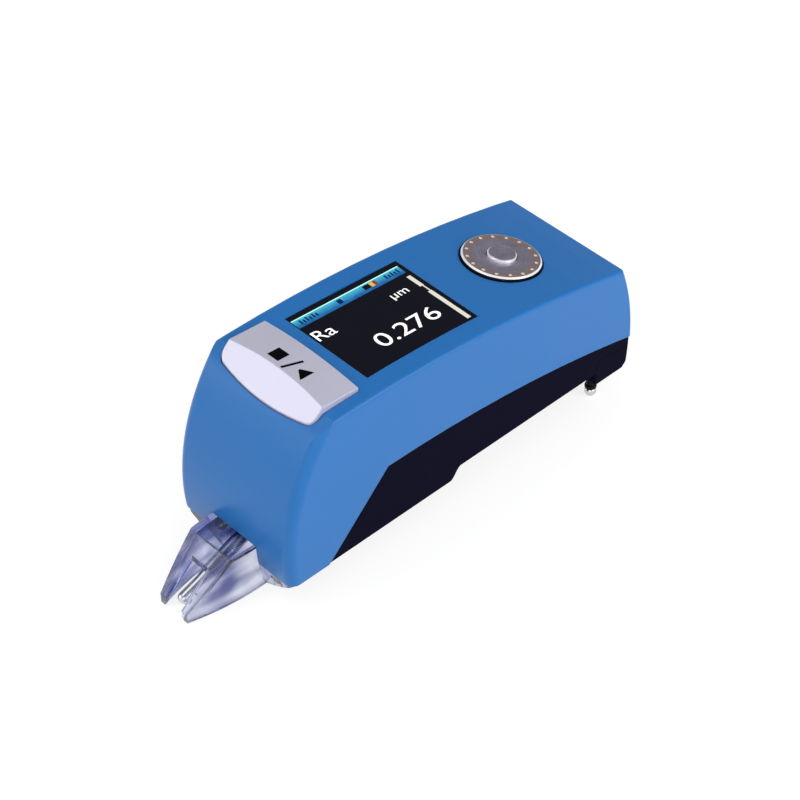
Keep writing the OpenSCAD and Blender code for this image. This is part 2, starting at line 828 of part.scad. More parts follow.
module shaft_coupling() {
  color([0.7, 0.71, 0.74])
    difference() {
      union() {
        rod_x(3.4, coup_x, coup_x + 8, 0, screw_z);
        rod_x(1, coup_x + 7, gear_x + 2.4, 0, screw_z);
      }
      rod_x(journal_r + snug, coup_x - 1, coup_x + 4.01, 0, screw_z);
    }
}

module gearbox() {
  color([0.72, 0.62, 0.36])
    difference() {
      rod_x(motor_r, gear_x, motor_x, 0, screw_z);
      rod_x(1 + run, gear_x - 1, gear_x + 3, 0, screw_z);
    }
}

module drive_motor() {
  color([0.7, 0.7, 0.72])
    union() {
      rod_x(motor_r, motor_x, motor_end, 0, screw_z);
      rod_x(2, motor_end - 1, motor_end + 1, 0, screw_z);
    }
}

module motor_cradle() {
  color([0.2, 0.2, 0.22])
    difference() {
      union() {
        box(cradle_x, cradle_end, -8.6, 8.6, relief_floor, cradle_top);
        box(cradle_x, cradle_end, -13, 13, relief_floor, relief_floor + 1.6);
      }
      rod_x(motor_r + snug, cradle_x - 1, cradle_end + 1, 0, screw_z);
      for (dx = [3, 15])
        for (sy = [-1, 1])
          rod_up(0.9 + snug, relief_floor - 1, relief_floor + 4, cradle_x + dx, sy * 11);
    }
}

module motor_clamp() {
  color([0.66, 0.67, 0.7])
    difference() {
      box(motor_x + 2, motor_x + 10, -8.4, 8.4, cradle_top, screw_z + motor_r + 1.4);
      rod_x(motor_r + snug, motor_x + 1, motor_x + 11, 0, screw_z);
    }
}

module clamp_screws() {
  color([0.7, 0.7, 0.72])
    for (dx = [3, 15])
      for (sy = [-1, 1])
        pan_down(cradle_x + dx, sy * 11, relief_floor + 1.6, 3.2, 1.2);
}

module carriage() {
  color([0.6, 0.62, 0.66])
    difference() {
      union() {
        box(car_front, car_rear, -frame_half + 0.6, frame_half - 0.6, frame_top + 0.5, screw_z + 4.5);
        for (sy = [-1, 1])
          box(pivot_x - 2.2, car_front + 1, sy * 4.1 - 0.95, sy * 4.1 + 0.95, frame_top + 0.6, pivot_z + 2.4);
      }
      rod_x(3.4 + snug, car_front - 1, car_rear + 1, 0, screw_z);
      for (sy = [-1, 1])
        rod_x(rod_r + 1.1 + snug, car_front - 1, car_rear + 1, sy * rod_y, rod_z);
      rod_across(1 + snug, 30, pivot_x, pivot_z);
    }
}

module lead_nut() {
  color([0.76, 0.62, 0.3])
    difference() {
      rod_x(3.4, car_front, car_rear, 0, screw_z);
      rod_x(screw_r + run, car_front - 1, car_rear + 1, 0, screw_z);
    }
}

module rod_bushes() {
  color([0.76, 0.62, 0.3])
    for (sy = [-1, 1])
      for (x = [car_front, car_rear - 4.5])
        difference() {
          rod_x(rod_r + 1.1, x, x + 4.5, sy * rod_y, rod_z);
          rod_x(rod_r + run, x - 1, x + 6, sy * rod_y, rod_z);
        }
}

module pivot_pin() {
  color([0.78, 0.79, 0.8])
    rod_across(1, 10, pivot_x, pivot_z);
}

module pickup_body() {
  color([0.74, 0.75, 0.78])
    on_pickup()
      difference() {
        union() {
          rod_across(1.9, 5.6, 0, 0);
          box(-7, 0, -2.4, 2.4, -1.9, 1.9);
          rod_x(2.4, -29, -5, 0, 0);
          translate([-33, 0, 0])
            rotate([0, 90, 0])
              cylinder(r1 = 1.9, r2 = 2.4, h = 4);
          rod_x(1.9, -skid_u - 0.6, -33, 0, 0);
          translate([-skid_u - 0.6, 0, 0])
            sphere(1.9);
        }
        rod_across(1 + run, 20, 0, 0);
        translate([-skid_u, 0, skid_w])
          sphere(skid_r + snug);
        box(-stylus_u - 1.2, -18, -0.85, 0.85, -6, -0.9);
        rod_across(0.4 + snug, 3.4, -lever_pin_u, lever_w + 0.5);
      }
}

module skid() {
  color([0.5, 0.05, 0.1])
    on_pickup()
      translate([-skid_u, 0, skid_w])
        sphere(skid_r);
}

module stylus_lever() {
  color([0.7, 0.7, 0.72])
    on_pickup()
      difference() {
        union() {
          box(-stylus_u - 0.5, -lever_pin_u + 1.6, -0.5, 0.5, lever_w - 0.1, lever_w + 0.75);
          rod_across(0.8, 1, -lever_pin_u, lever_w + 0.5);
        }
        rod_across(0.4 + run, 4, -lever_pin_u, lever_w + 0.5);
      }
}

module stylus_tip() {
  color([0.85, 0.87, 0.9])
    on_pickup()
      translate([-stylus_u, 0, stylus_end])
        cylinder(r1 = 0.06, r2 = 0.5, h = lever_w - 0.1 - stylus_end);
}

module stylus_pin() {
  color([0.78, 0.79, 0.8])
    on_pickup()
      rod_across(0.4, 3.2, -lever_pin_u, lever_w + 0.5);
}

// Leaf plan of the nose: one arc on each side from the root to the tip.
module nose_side_disc(inset, s) {
  mx = (tip_x + front_x) / 2;
  my = (nose_root_half + nose_tip_half) / 2;
  c = sqrt(nose_l * nose_l + pow(nose_root_half - nose_tip_half, 2));
  h = sqrt(nose_arc_r * nose_arc_r - c * c / 4);
  nx = -(nose_root_half - nose_tip_half) / c;
  ny = nose_l / c;
  translate([mx - nx * h, s * (my - ny * h)])
    circle(nose_arc_r - inset, $fn = 240);
}

module nose_plan(inset, x0, x1) {
  intersection() {
    nose_side_disc(inset, 1);
    nose_side_disc(inset, -1);
    translate([x0, -body_w / 2])
      square([x1 - x0, body_w]);
  }
}

module nose_guard() {
  drop = nose_wall / cos(43);
  color([0.8, 0.85, 1, 0.35])
    difference() {
      union() {
        intersection() {
          linear_extrude(nose_roof_z + 1)
            nose_plan(0, tip_x, nose_root_x);
          side(body_w)
            polygon([[tip_x, -1], [nose_root_x + 1, -1], [nose_root_x + 1, nose_roof_z],
              [nose_knee_x, nose_roof_z], [tip_x, nose_tip_z]]);
        }
        intersection() {
          rotate([90, 0, 90])
            translate([0, 0, front_x - 2])
              linear_extrude(nose_back - front_x + 2)
                polygon([[-half_w + 1, nose_top], [-half_w + 1, nose_top - 0.7], [-nose_root_half + 0.6, 0],
                  [nose_root_half - 0.6, 0], [half_w - 1, nose_top - 0.7], [half_w - 1, nose_top]]);
          translate([front_axis_x, 0, front_axis_z])
            wheel(front_r - 0.3, front_r - 1, body_w - 1.2, front_edge_r, 90, 180);
        }
      }
      intersection() {
        translate([0, 0, -2])
          linear_extrude(nose_roof_z + 6)
            nose_plan(nose_wall, tip_x - 1, nose_root_x + 1);
        side(body_w)
          polygon([[tip_x - 2, -2], [nose_root_x + 2, -2], [nose_root_x + 2, nose_roof_z - nose_wall],
            [nose_knee_x + 0.7, nose_roof_z - nose_wall], [tip_x - 2, nose_tip_z - drop - 2 * tan(43)]]);
      }
      box(tip_x - 2, tip_x + 11, -3.5, 3.5, -2, nose_roof_z);
      box(front_x + 0.2, nose_back + 1, -nose_root_half + 2.2, nose_root_half - 2.2, -2, nose_top + 1);
      for (sy = [-1, 1]) {
        rod_up(1.1 + 0.1, -1, nose_top + 1, front_x + 5.4, sy * 15.5);
        rod_up(2.3, -1, nose_top - 4, front_x + 5.4, sy * 15.5);
      }
    }
}

module nose_screws() {
  color([0.7, 0.7, 0.72])
    for (sy = [-1, 1]) {
      rod_up(2, nose_top - 5.4, nose_top - 4, front_x + 5.4, sy * 15.5);
      rod_up(1.1, nose_top - 4.2, floor_z, front_x + 5.4, sy * 15.5);
    }
}

module foot_carrier() {
  color([0.07, 0.07, 0.1])
    difference() {
      intersection() {
        side(2 * base_half)
          carrier_outline(0);
        rear_bound(base_inset, max(rear_edge_r - base_inset, 0.2));
      }
      carrier_core(0);
      for (sy = [-1, 1]) {
        rod_up(3, carrier_z - 1, relief_z + 1, foot_x, sy * foot_y);
        screw_up(foot_x + 2, sy * 9, carrier_z - 0.01, 8, 0.06);
      }
      box(rear_x - 6, rear_x + 4, -6.5, 6.5, relief_floor - 1, relief_floor + 8);
    }
}

module carrier_screws() {
  color([0.25, 0.25, 0.27])
    for (sy = [-1, 1])
      screw_up(foot_x + 2, sy * 9, carrier_z, relief_floor - carrier_z, 0);
}

module foot_bushes() {
  color([0.76, 0.62, 0.3])
    for (sy = [-1, 1])
      difference() {
        rod_up(3, carrier_z, relief_z - 0.02, foot_x, sy * foot_y);
        rod_up(post_r + run, carrier_z - 1, relief_z + 1, foot_x, sy * foot_y);
      }
}

module foot_post(s) {
  color([0.15, 0.15, 0.17])
    difference() {
      union() {
        rod_up(post_r, ball_r, relief_z - 0.4, foot_x, s * foot_y);
        rod_up(ball_r, ball_r + 1.4, ball_r + 2.9, foot_x, s * foot_y);
      }
      translate([foot_x, s * foot_y, ball_r])
        sphere(ball_r + snug);
    }
}

module foot_ball(s) {
  color([0.85, 0.86, 0.88])
    translate([foot_x, s * foot_y, ball_r])
      sphere(ball_r);
}

module foot_post_left() {
  foot_post(1);
}

module foot_post_right() {
  foot_post(-1);
}

module foot_ball_left() {
  foot_ball(1);
}

module foot_ball_right() {
  foot_ball(-1);
}

module usb_socket() {
  color([0.72, 0.73, 0.75])
    difference() {
      box(rear_x - 11.5, rear_x - 2.4, -4.4, 4.4, relief_floor, relief_floor + 3.5);
      box(rear_x - 9.5, rear_x, -3.5, 3.5, relief_floor + 0.7, relief_floor + 2.8);
    }
}

module stand_insert() {
  color([0.78, 0.64, 0.32])
    difference() {
      rod_up(insert_r - snug, relief_z, relief_z + insert_l, insert_x, 0);
      rod_up(insert_hole_r, relief_z - 1, relief_z + insert_l + 1, insert_x, 0);
    }
}

top_housing();
start_button();
start_plunger();
start_switch();
display_window();
display_seal();
display_panel();
main_board();
board_screws();
jog_dial();
select_button();
select_plunger();
select_switch();
encoder_rotor();
encoder_sensor();
dial_board();
dial_screws();
base_housing();
base_screws();
battery_tray();
tray_screws();
battery_pack();
drive_frame();
frame_screws();
guide_rods();
lead_screw();
screw_bearings();
shaft_coupling();
gearbox();
drive_motor();
motor_cradle();
motor_clamp();
clamp_screws();
carriage();
lead_nut();
rod_bushes();
pivot_pin();
pickup_body();
skid();
stylus_lever();
stylus_tip();
stylus_pin();
nose_guard();
nose_screws();
foot_carrier();
carrier_screws();
foot_bushes();
foot_post_left();
foot_post_right();
foot_ball_left();
foot_ball_right();
usb_socket();
stand_insert();
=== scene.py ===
import json
import math
import bmesh
import bpy
import numpy as np
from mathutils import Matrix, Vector


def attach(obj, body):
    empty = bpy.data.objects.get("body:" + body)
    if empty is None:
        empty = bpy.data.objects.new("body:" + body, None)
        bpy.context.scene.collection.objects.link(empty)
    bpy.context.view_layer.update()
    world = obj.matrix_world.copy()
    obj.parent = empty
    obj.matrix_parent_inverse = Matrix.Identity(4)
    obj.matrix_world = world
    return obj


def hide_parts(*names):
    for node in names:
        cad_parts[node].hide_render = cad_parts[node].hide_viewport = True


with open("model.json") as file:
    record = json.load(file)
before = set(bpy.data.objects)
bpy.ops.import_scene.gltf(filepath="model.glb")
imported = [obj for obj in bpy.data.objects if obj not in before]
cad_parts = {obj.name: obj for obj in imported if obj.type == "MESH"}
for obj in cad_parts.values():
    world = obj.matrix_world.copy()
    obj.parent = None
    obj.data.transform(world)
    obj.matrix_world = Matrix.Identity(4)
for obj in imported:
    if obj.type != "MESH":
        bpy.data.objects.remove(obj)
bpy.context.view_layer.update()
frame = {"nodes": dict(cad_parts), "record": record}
nodes = frame["nodes"]
scene = bpy.context.scene
mm = 0.001   # in metres
print("frame loaded:", len(nodes), "nodes")

# the camera stands where the picture was taken from

cameraFit = {
    "azimuth": -43.561,               # degrees, 0 looks along +Y
    "elevation": 42.672,              # degrees above the floor
    "distance": 768.619,              # mm from the aim point
    "aim": (18.2, 0.0, 10.8),         # mm
    "slide": (-8.134, 6.605),         # mm, camera moved right and up in its own plane
    "lens": 110.25, "sensor": 36,     # mm
    "reach": (0.02, 20),              # m, the nearest and farthest that is drawn
}


def placeCamera(fit):
    # back points from the aim to the camera; right and up span the picture plane
    a, e = math.radians(fit["azimuth"]), math.radians(fit["elevation"])
    back = Vector((math.sin(a) * math.cos(e), -math.cos(a) * math.cos(e), math.sin(e)))
    right = Vector((math.cos(a), math.sin(a), 0))
    up = back.cross(right)
    spot = Vector(fit["aim"]) + back * fit["distance"] + right * fit["slide"][0] + up * fit["slide"][1]
    data = bpy.data.cameras.new("photoCamera")
    data.lens = fit["lens"]
    data.sensor_width = fit["sensor"]
    data.clip_start, data.clip_end = fit["reach"]
    camera = bpy.data.objects.new("photoCamera", data)
    camera.location = spot * mm
    camera.rotation_mode = "QUATERNION"
    camera.rotation_quaternion = (-back).to_track_quat("-Z", "Y")
    scene.collection.objects.link(camera)
    scene.camera = camera


placeCamera(cameraFit)
scene.view_settings.view_transform = "Standard"

studio = {
    "aim": (0.0, 0.0, 0.035),
    # towards the lamp, distance m, side m, watts
    "keyBox": ((0.30, -0.85, 0.43), 1.1, 0.75, 6.2),
    "frontCard": ((-0.77, 0.53, 0.36), 1.0, 0.6, 1.7),
    "topCard": ((-0.35, 0.30, 0.89), 1.0, 0.6, 1.5),
    "fillCard": ((-0.62, -0.60, 0.50), 1.1, 0.8, 2.0),
    "skyLevel": 0.53,                 # what the dome gives to matt surfaces
    "crown": (0.12, 0.46, 0.235),     # rise where the white wall ends and the dim crown starts, its level
    "crownLean": 0.25,                # how much lower the crown hangs behind the object than before it
    "floorColour": (0.80, 0.80, 0.81),
    "floorGlow": 0.78,                # share of the floor's white that no shadow dims
    "floorShade": 0.32,               # share that takes the shadow
    "floorHalf": 1.6,                 # m, half its side
    "floorPoints": 3,                 # along each side
}


def softBox(name, toward, distance, side, watts):
    data = bpy.data.lights.new(name, "AREA")
    data.shape = "SQUARE"
    data.size = side
    data.energy = watts
    lamp = bpy.data.objects.new(name, data)
    way = Vector(toward).normalized()
    lamp.location = Vector(studio["aim"]) + way * distance
    lamp.rotation_mode = "QUATERNION"
    lamp.rotation_quaternion = way.to_track_quat("Z", "Y")
    scene.collection.objects.link(lamp)


for lampName in ("keyBox", "frontCard", "topCard", "fillCard"):
    softBox(lampName, *studio[lampName])


def seenDirectly(tree):
    # 1 for rays from the camera, off gloss or through clear plastic, 0 for soft light
    rays = tree.nodes.new("ShaderNodeLightPath").outputs
    shiny = mathOf(tree, "MAXIMUM", rays["Is Glossy Ray"], rays["Is Transmission Ray"])
    return mathOf(tree, "MAXIMUM", rays["Is Camera Ray"], shiny)


def makeDome():
    world = bpy.data.worlds.new("whiteDome")
    world.use_nodes = True
    tree = world.node_tree
    tree.nodes.clear()
    out = tree.nodes.new("ShaderNodeOutputWorld")
    mix = tree.nodes.new("ShaderNodeMixShader")
    soft = tree.nodes.new("ShaderNodeBackground")
    soft.inputs["Strength"].default_value = studio["skyLevel"]
    white = tree.nodes.new("ShaderNodeBackground")
    for sky in (soft, white):
        sky.inputs["Color"].default_value = (1, 1, 1, 1)
    # white behind the object; gloss and glass see the white wall all round and a dim crown above it,
    # told apart by rise = z + lean * x of the ray
    way = tree.nodes.new("ShaderNodeTexCoord")
    split = tree.nodes.new("ShaderNodeSeparateXYZ")
    tree.links.new(way.outputs["Generated"], split.inputs[0])
    wallEnd, crownStart, crownLevel = studio["crown"]
    rise = sumOf(tree, split.outputs["Z"], split.outputs["X"], studio["crownLean"])
    wall = rangeOf(tree, rise, 1, crownLevel, wallEnd, crownStart)
    rays = tree.nodes.new("ShaderNodeLightPath").outputs
    behind = mathOf(tree, "MAXIMUM", wall, rays["Is Camera Ray"])
    tree.links.new(behind, white.inputs["Strength"])
    tree.links.new(seenDirectly(tree), mix.inputs[0])
    tree.links.new(soft.outputs[0], mix.inputs[1])
    tree.links.new(white.outputs[0], mix.inputs[2])
    tree.links.new(mix.outputs[0], out.inputs["Surface"])
    scene.world = world


def makeFloor():
    # a flat square grid z = 0
    line = np.linspace(-studio["floorHalf"], studio["floorHalf"], studio["floorPoints"])
    x, y = np.meshgrid(line, line, indexing="ij")
    floor = gridPiece("floor", np.stack([x, y, 0 * x], -1))
    mat = bpy.data.materials.new("paleFloor")
    mat.use_nodes = True
    tree = mat.node_tree
    tree.nodes.clear()
    out = tree.nodes.new("ShaderNodeOutputMaterial")
    mix = tree.nodes.new("ShaderNodeMixShader")
    add = tree.nodes.new("ShaderNodeAddShader")
    pale = tree.nodes.new("ShaderNodeBsdfDiffuse")
    pale.inputs["Color"].default_value = (*studio["floorColour"], 1)
    shade = tree.nodes.new("ShaderNodeBsdfDiffuse")
    shade.inputs["Color"].default_value = (studio["floorShade"],) * 3 + (1,)
    glow = tree.nodes.new("ShaderNodeEmission")
    glow.inputs["Strength"].default_value = studio["floorGlow"]
    tree.links.new(seenDirectly(tree), mix.inputs[0])
    tree.links.new(pale.outputs[0], mix.inputs[1])
    tree.links.new(glow.outputs[0], add.inputs[0])
    tree.links.new(shade.outputs[0], add.inputs[1])
    tree.links.new(add.outputs[0], mix.inputs[2])
    # from below the floor is open, so the underside can be looked at
    facing = tree.nodes.new("ShaderNodeNewGeometry")
    oneWay = tree.nodes.new("ShaderNodeMixShader")
    clear = tree.nodes.new("ShaderNodeBsdfTransparent")
    tree.links.new(facing.outputs["Backfacing"], oneWay.inputs[0])
    tree.links.new(mix.outputs[0], oneWay.inputs[1])
    tree.links.new(clear.outputs[0], oneWay.inputs[2])
    tree.links.new(oneWay.outputs[0], out.inputs["Surface"])
    floor.data.materials.append(mat)


def gridQuads(nu, nv, closed, count=1):
    # each cell of an nu by nv grid is a quad; closed joins the last v to the first, count repeats the grid
    index = np.arange(nu * nv).reshape(nu, nv)
    if closed:
        index = np.concatenate([index, index[:, :1]], 1)
    quads = np.stack([index[:-1, :-1], index[1:, :-1], index[1:, 1:], index[:-1, 1:]], -1).reshape(-1, 4)
    return (quads + nu * nv * np.arange(count)[:, None, None]).reshape(-1, 4)


def gridPiece(name, points, closed=False):
    # points[i, j] is the surface at the i-th u and j-th v
    return facePiece(name, points.reshape(-1, 3), gridQuads(*points.shape[:2], closed))


def facePiece(name, verts, faces):
    mesh = bpy.data.meshes.new(name)
    mesh.from_pydata(np.asarray(verts, float).tolist(), [], np.asarray(faces).tolist())
    mesh.update()
    piece = bpy.data.objects.new(name, mesh)
    scene.collection.objects.link(piece)
    return piece


weldGap = 1e-7   # m, points closer than this become one


def closeUp(piece, outward=True):
    # poles and seams are merged and, on a closed skin, the faces turned outwards
    skin = bmesh.new()
    skin.from_mesh(piece.data)
    bmesh.ops.remove_doubles(skin, verts=skin.verts, dist=weldGap)
    if outward:
        bmesh.ops.recalc_face_normals(skin, faces=skin.faces)
    skin.to_mesh(piece.data)
    skin.free()
    return piece


def dress(piece, mat, body, smooth=False):
    # a new piece gets its finish and the body that it moves with
    piece.data.materials.clear()
    piece.data.materials.append(mat)
    if smooth:
        piece.data.shade_smooth()
    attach(piece, body)


def startFinish(name):
    # an empty finish: its shader and the coordinates of the piece it is on
    mat = bpy.data.materials.new(name)
    mat.use_nodes = True
    tree = mat.node_tree
    tree.nodes.clear()
    out = tree.nodes.new("ShaderNodeOutputMaterial")
    shader = tree.nodes.new("ShaderNodeBsdfPrincipled")
    coords = tree.nodes.new("ShaderNodeTexCoord")
    tree.links.new(shader.outputs["BSDF"], out.inputs["Surface"])
    return mat, tree, shader, coords.outputs["Object"]


def setSockets(shader, values):
    for key, value in values.items():
        shader.inputs[key].default_value = value


def noiseOf(tree, place, scale, octaves=2.0, bite=0.5, stretch=None):
    # stretch squeezes the pattern along an axis, so a small number draws it out
    if stretch:
        squeeze = tree.nodes.new("ShaderNodeMapping")
        squeeze.inputs["Scale"].default_value = stretch
        tree.links.new(place, squeeze.inputs["Vector"])
        place = squeeze.outputs["Vector"]
    noise = tree.nodes.new("ShaderNodeTexNoise")
    noise.inputs["Scale"].default_value = scale
    noise.inputs["Detail"].default_value = octaves
    noise.inputs["Roughness"].default_value = bite
    tree.links.new(place, noise.inputs["Vector"])
    return noise.outputs["Fac"]


def rangeOf(tree, value, low, high, start=0.3, stop=0.7):
    # start to stop becomes low to high; most of a noise lies between the two given here
    span = tree.nodes.new("ShaderNodeMapRange")
    span.inputs["From Min"].default_value = start
    span.inputs["From Max"].default_value = stop
    span.inputs["To Min"].default_value = low
    span.inputs["To Max"].default_value = high
    tree.links.new(value, span.inputs["Value"])
    return span.outputs["Result"]


def mixOf(tree, value, first, second):
    # first and second are colours or the outputs of other nodes, and go to the node's colour sockets
    mix = tree.nodes.new("ShaderNodeMix")
    mix.data_type = "RGBA"
    for socket, colour in ((mix.inputs[6], first), (mix.inputs[7], second)):
        if hasattr(colour, "is_output"):
            tree.links.new(colour, socket)
        else:
            socket.default_value = (*colour, 1)
    tree.links.new(value, mix.inputs[0])
    return mix.outputs[2]


def mathOf(tree, operation, *values):
    # each value is a number or the output of another node
    node = tree.nodes.new("ShaderNodeMath")
    node.operation = operation
    for socket, value in zip(node.inputs, values):
        if hasattr(value, "is_output"):
            tree.links.new(value, socket)
        else:
            socket.default_value = value
    return node.outputs[0]


def sumOf(tree, first, second, share):
    # first + share * second
    return mathOf(tree, "MULTIPLY_ADD", second, share, first)


easeSamples = 6   # rays that feel for a sharp edge


def bumpOf(tree, shader, height, depth, edge=0.0):
    # edge is the radius by which sharp edges are eased in the shading
    bump = tree.nodes.new("ShaderNodeBump")
    bump.inputs["Distance"].default_value = depth
    tree.links.new(height, bump.inputs["Height"])
    if edge:
        eased = tree.nodes.new("ShaderNodeBevel")
        eased.samples = easeSamples
        eased.inputs["Radius"].default_value = edge
        tree.links.new(eased.outputs[0], bump.inputs["Normal"])
    tree.links.new(bump.outputs[0], shader.inputs["Normal"])


mouldGrain = {
    "octaves": 3, "bite": 0.6,        # of the grain's noise
    "speckSpan": (0.55, 0.8),         # of the grain, from no fleck to full fleck
    "glossShare": 0.5,                # how much of the grain joins the drift in the gloss
    "glossSpan": (0.5, 1.0),          # of that sum, from glossy to dull
}


def mouldedPlastic(name, look):
    # fine spark-eroded grain, a slow drift of colour and gloss, eased edges
    mat, tree, shader, place = startFinish(name)
    drift = noiseOf(tree, place, look["drift"], mouldGrain["octaves"])
    grain = noiseOf(tree, place, look["grain"], mouldGrain["octaves"], mouldGrain["bite"])
    tone = mixOf(tree, drift, look["dark"], look["light"])
    speck = rangeOf(tree, grain, 0, look["speck"], *mouldGrain["speckSpan"])
    tree.links.new(mixOf(tree, speck, tone, look["fleck"]), shader.inputs["Base Color"])
    gloss = sumOf(tree, drift, grain, mouldGrain["glossShare"])
    rough = rangeOf(tree, gloss, *look["rough"], *mouldGrain["glossSpan"])
    tree.links.new(rough, shader.inputs["Roughness"])
    bumpOf(tree, shader, grain, look["depth"], look["edge"])
    setSockets(shader, look["sockets"])
    return mat


def linedMetal(name, look):
    # long thin streaks along one axis, as grinding, drawing or brushing leaves them
    mat, tree, shader, place = startFinish(name)
    streak = noiseOf(tree, place, *look["streak"], look["along"])
    cloud = noiseOf(tree, place, look["cloud"])
    tone = sumOf(tree, streak, cloud, look["cloudShare"])
    tree.links.new(mixOf(tree, tone, look["dark"], look["light"]), shader.inputs["Base Color"])
    tree.links.new(rangeOf(tree, streak, *look["rough"]), shader.inputs["Roughness"])
    bumpOf(tree, shader, streak, look["depth"], look["edge"])
    setSockets(shader, look["sockets"])
    return mat


def spunMetal(name, look):
    # rings about an axis: a one-way noise of the distance from it
    mat, tree, shader, place = startFinish(name)
    centred = tree.nodes.new("ShaderNodeMapping")
    centred.vector_type = "TEXTURE"
    centred.inputs["Location"].default_value = look["centre"]
    centred.inputs["Rotation"].default_value = (0, look["tilt"], 0)
    tree.links.new(place, centred.inputs["Vector"])
    flat = tree.nodes.new("ShaderNodeVectorMath")
    flat.operation = "MULTIPLY"
    flat.inputs[1].default_value = (1, 1, 0)
    tree.links.new(centred.outputs[0], flat.inputs[0])
    reach = tree.nodes.new("ShaderNodeVectorMath")
    reach.operation = "LENGTH"
    tree.links.new(flat.outputs[0], reach.inputs[0])
    rings = tree.nodes.new("ShaderNodeTexNoise")
    rings.noise_dimensions = "1D"
    rings.inputs["Scale"].default_value = look["rings"]
    rings.inputs["Detail"].default_value = look["ringOctaves"]
    tree.links.new(reach.outputs["Value"], rings.inputs["W"])
    cloud = noiseOf(tree, place, *look["cloud"])
    grain = noiseOf(tree, place, look["grain"])
    tone = mixOf(tree, rangeOf(tree, cloud, 0, 1), look["dark"], look["light"])
    fine = sumOf(tree, rings.outputs["Fac"], grain, look["grainShare"])
    ringTone = rangeOf(tree, fine, 0, look["ringShare"], *look["ringSpan"])
    face = mixOf(tree, ringTone, tone, look["fleck"])
    metal = rangeOf(tree, cloud, look["metal"] + look["metalDrift"], look["metal"] - look["metalDrift"])
    # some bands are painted highlight or painted shade, as the look lists them
    for inner, outer, soft, rimToneAndPaintedLight, rimMetal in look["rims"]:
        inside = rangeOf(tree, reach.outputs["Value"], 0, 1, inner - soft, inner)
        beyond = rangeOf(tree, reach.outputs["Value"], 1, 0, outer, outer + soft)
        band = mathOf(tree, "MULTIPLY", inside, beyond)
        face = mixOf(tree, band, face, rimToneAndPaintedLight)
        metal = sumOf(tree, metal, band, rimMetal - look["metal"])
    tree.links.new(face, shader.inputs["Base Color"])
    tree.links.new(metal, shader.inputs["Metallic"])
    tree.links.new(rangeOf(tree, rings.outputs["Fac"], *look["rough"]), shader.inputs["Roughness"])
    bumpOf(tree, shader, rings.outputs["Fac"], look["depth"], look["edge"])
    return mat


def clearMoulding(name, look):
    # clear plastic with faint flow marks in its gloss and surface, deeper in tint where it is thicker; the
    # deep blue of the flow marks is partly painted shade, standing for the dark inside seen through it
    mat, tree, shader, place = startFinish(name)
    depth = tree.nodes.new("ShaderNodeVolumeAbsorption")
    depth.inputs["Color"].default_value = (*look["tint"], 1)
    depth.inputs["Density"].default_value = look["density"]
    out = next(node for node in tree.nodes if node.type == "OUTPUT_MATERIAL")
    tree.links.new(depth.outputs[0], out.inputs["Volume"])
    flow = noiseOf(tree, place, *look["flow"], look["along"])
    shade = rangeOf(tree, flow, 0, 1, *look["shade"])
    tree.links.new(mixOf(tree, shade, look["dark"], look["light"]), shader.inputs["Base Color"])
    tree.links.new(rangeOf(tree, flow, *look["rough"]), shader.inputs["Roughness"])
    bumpOf(tree, shader, flow, look["depth"], look["edge"])
    setSockets(shader, look["sockets"])
    return mat


inkLook = {
    "dots": (1800, 1),                # noise scale and octaves
    "fade": 0.9,                      # the weaker tone as a share of the full one
    "rough": (0.34, 0.46), "sockets": {"Specular IOR Level": 0.03},
}


def printedInk(name, colour, glow=0.0):
    # thin print or lit pixels: two close tones through a fine noise
    mat, tree, shader, place = startFinish(name)
    dots = noiseOf(tree, place, *inkLook["dots"])
    tone = mixOf(tree, dots, colour, tuple(inkLook["fade"] * c for c in colour))
    tree.links.new(tone, shader.inputs["Base Color"])
    if glow:
        tree.links.new(tone, shader.inputs["Emission Color"])
        shader.inputs["Emission Strength"].default_value = glow
    tree.links.new(rangeOf(tree, dots, *inkLook["rough"]), shader.inputs["Roughness"])
    setSockets(shader, inkLook["sockets"])
    return mat


def litHeader(name, look):
    # lit pixels that go from one blue to another across the strip
    mat, tree, shader, place = startFinish(name)
    split = tree.nodes.new("ShaderNodeSeparateXYZ")
    tree.links.new(place, split.inputs[0])
    fall = rangeOf(tree, split.outputs["Y"], 0, 1, *look["across"])
    dots = noiseOf(tree, place, look["dots"])
    tone = mixOf(tree, sumOf(tree, fall, dots, look["dotShare"]), look["near"], look["far"])
    for socket in ("Base Color", "Emission Color"):
        tree.links.new(tone, shader.inputs[socket])
    tree.links.new(rangeOf(tree, dots, *look["rough"]), shader.inputs["Roughness"])
    setSockets(shader, look["sockets"])
    return mat


def solderMask(name, look):
    # copper runs under green lacquer: a brick pattern seen as faint raised lines
    mat, tree, shader, place = startFinish(name)
    runs = tree.nodes.new("ShaderNodeTexBrick")
    runs.inputs["Scale"].default_value = look["scale"]
    runs.inputs["Mortar Size"].default_value = look["gap"]
    runs.inputs["Color1"].default_value = (*look["dark"], 1)
    runs.inputs["Color2"].default_value = (*look["mid"], 1)
    runs.inputs["Mortar"].default_value = (*look["light"], 1)
    tree.links.new(place, runs.inputs["Vector"])
    tree.links.new(runs.outputs["Color"], shader.inputs["Base Color"])
    gloss = noiseOf(tree, place, look["gloss"])
    tree.links.new(rangeOf(tree, gloss, *look["rough"]), shader.inputs["Roughness"])
    bumpOf(tree, shader, runs.outputs["Fac"], look["depth"])
    return mat


makeDome()
makeFloor()
print("camera, lamps, dome and floor placed")

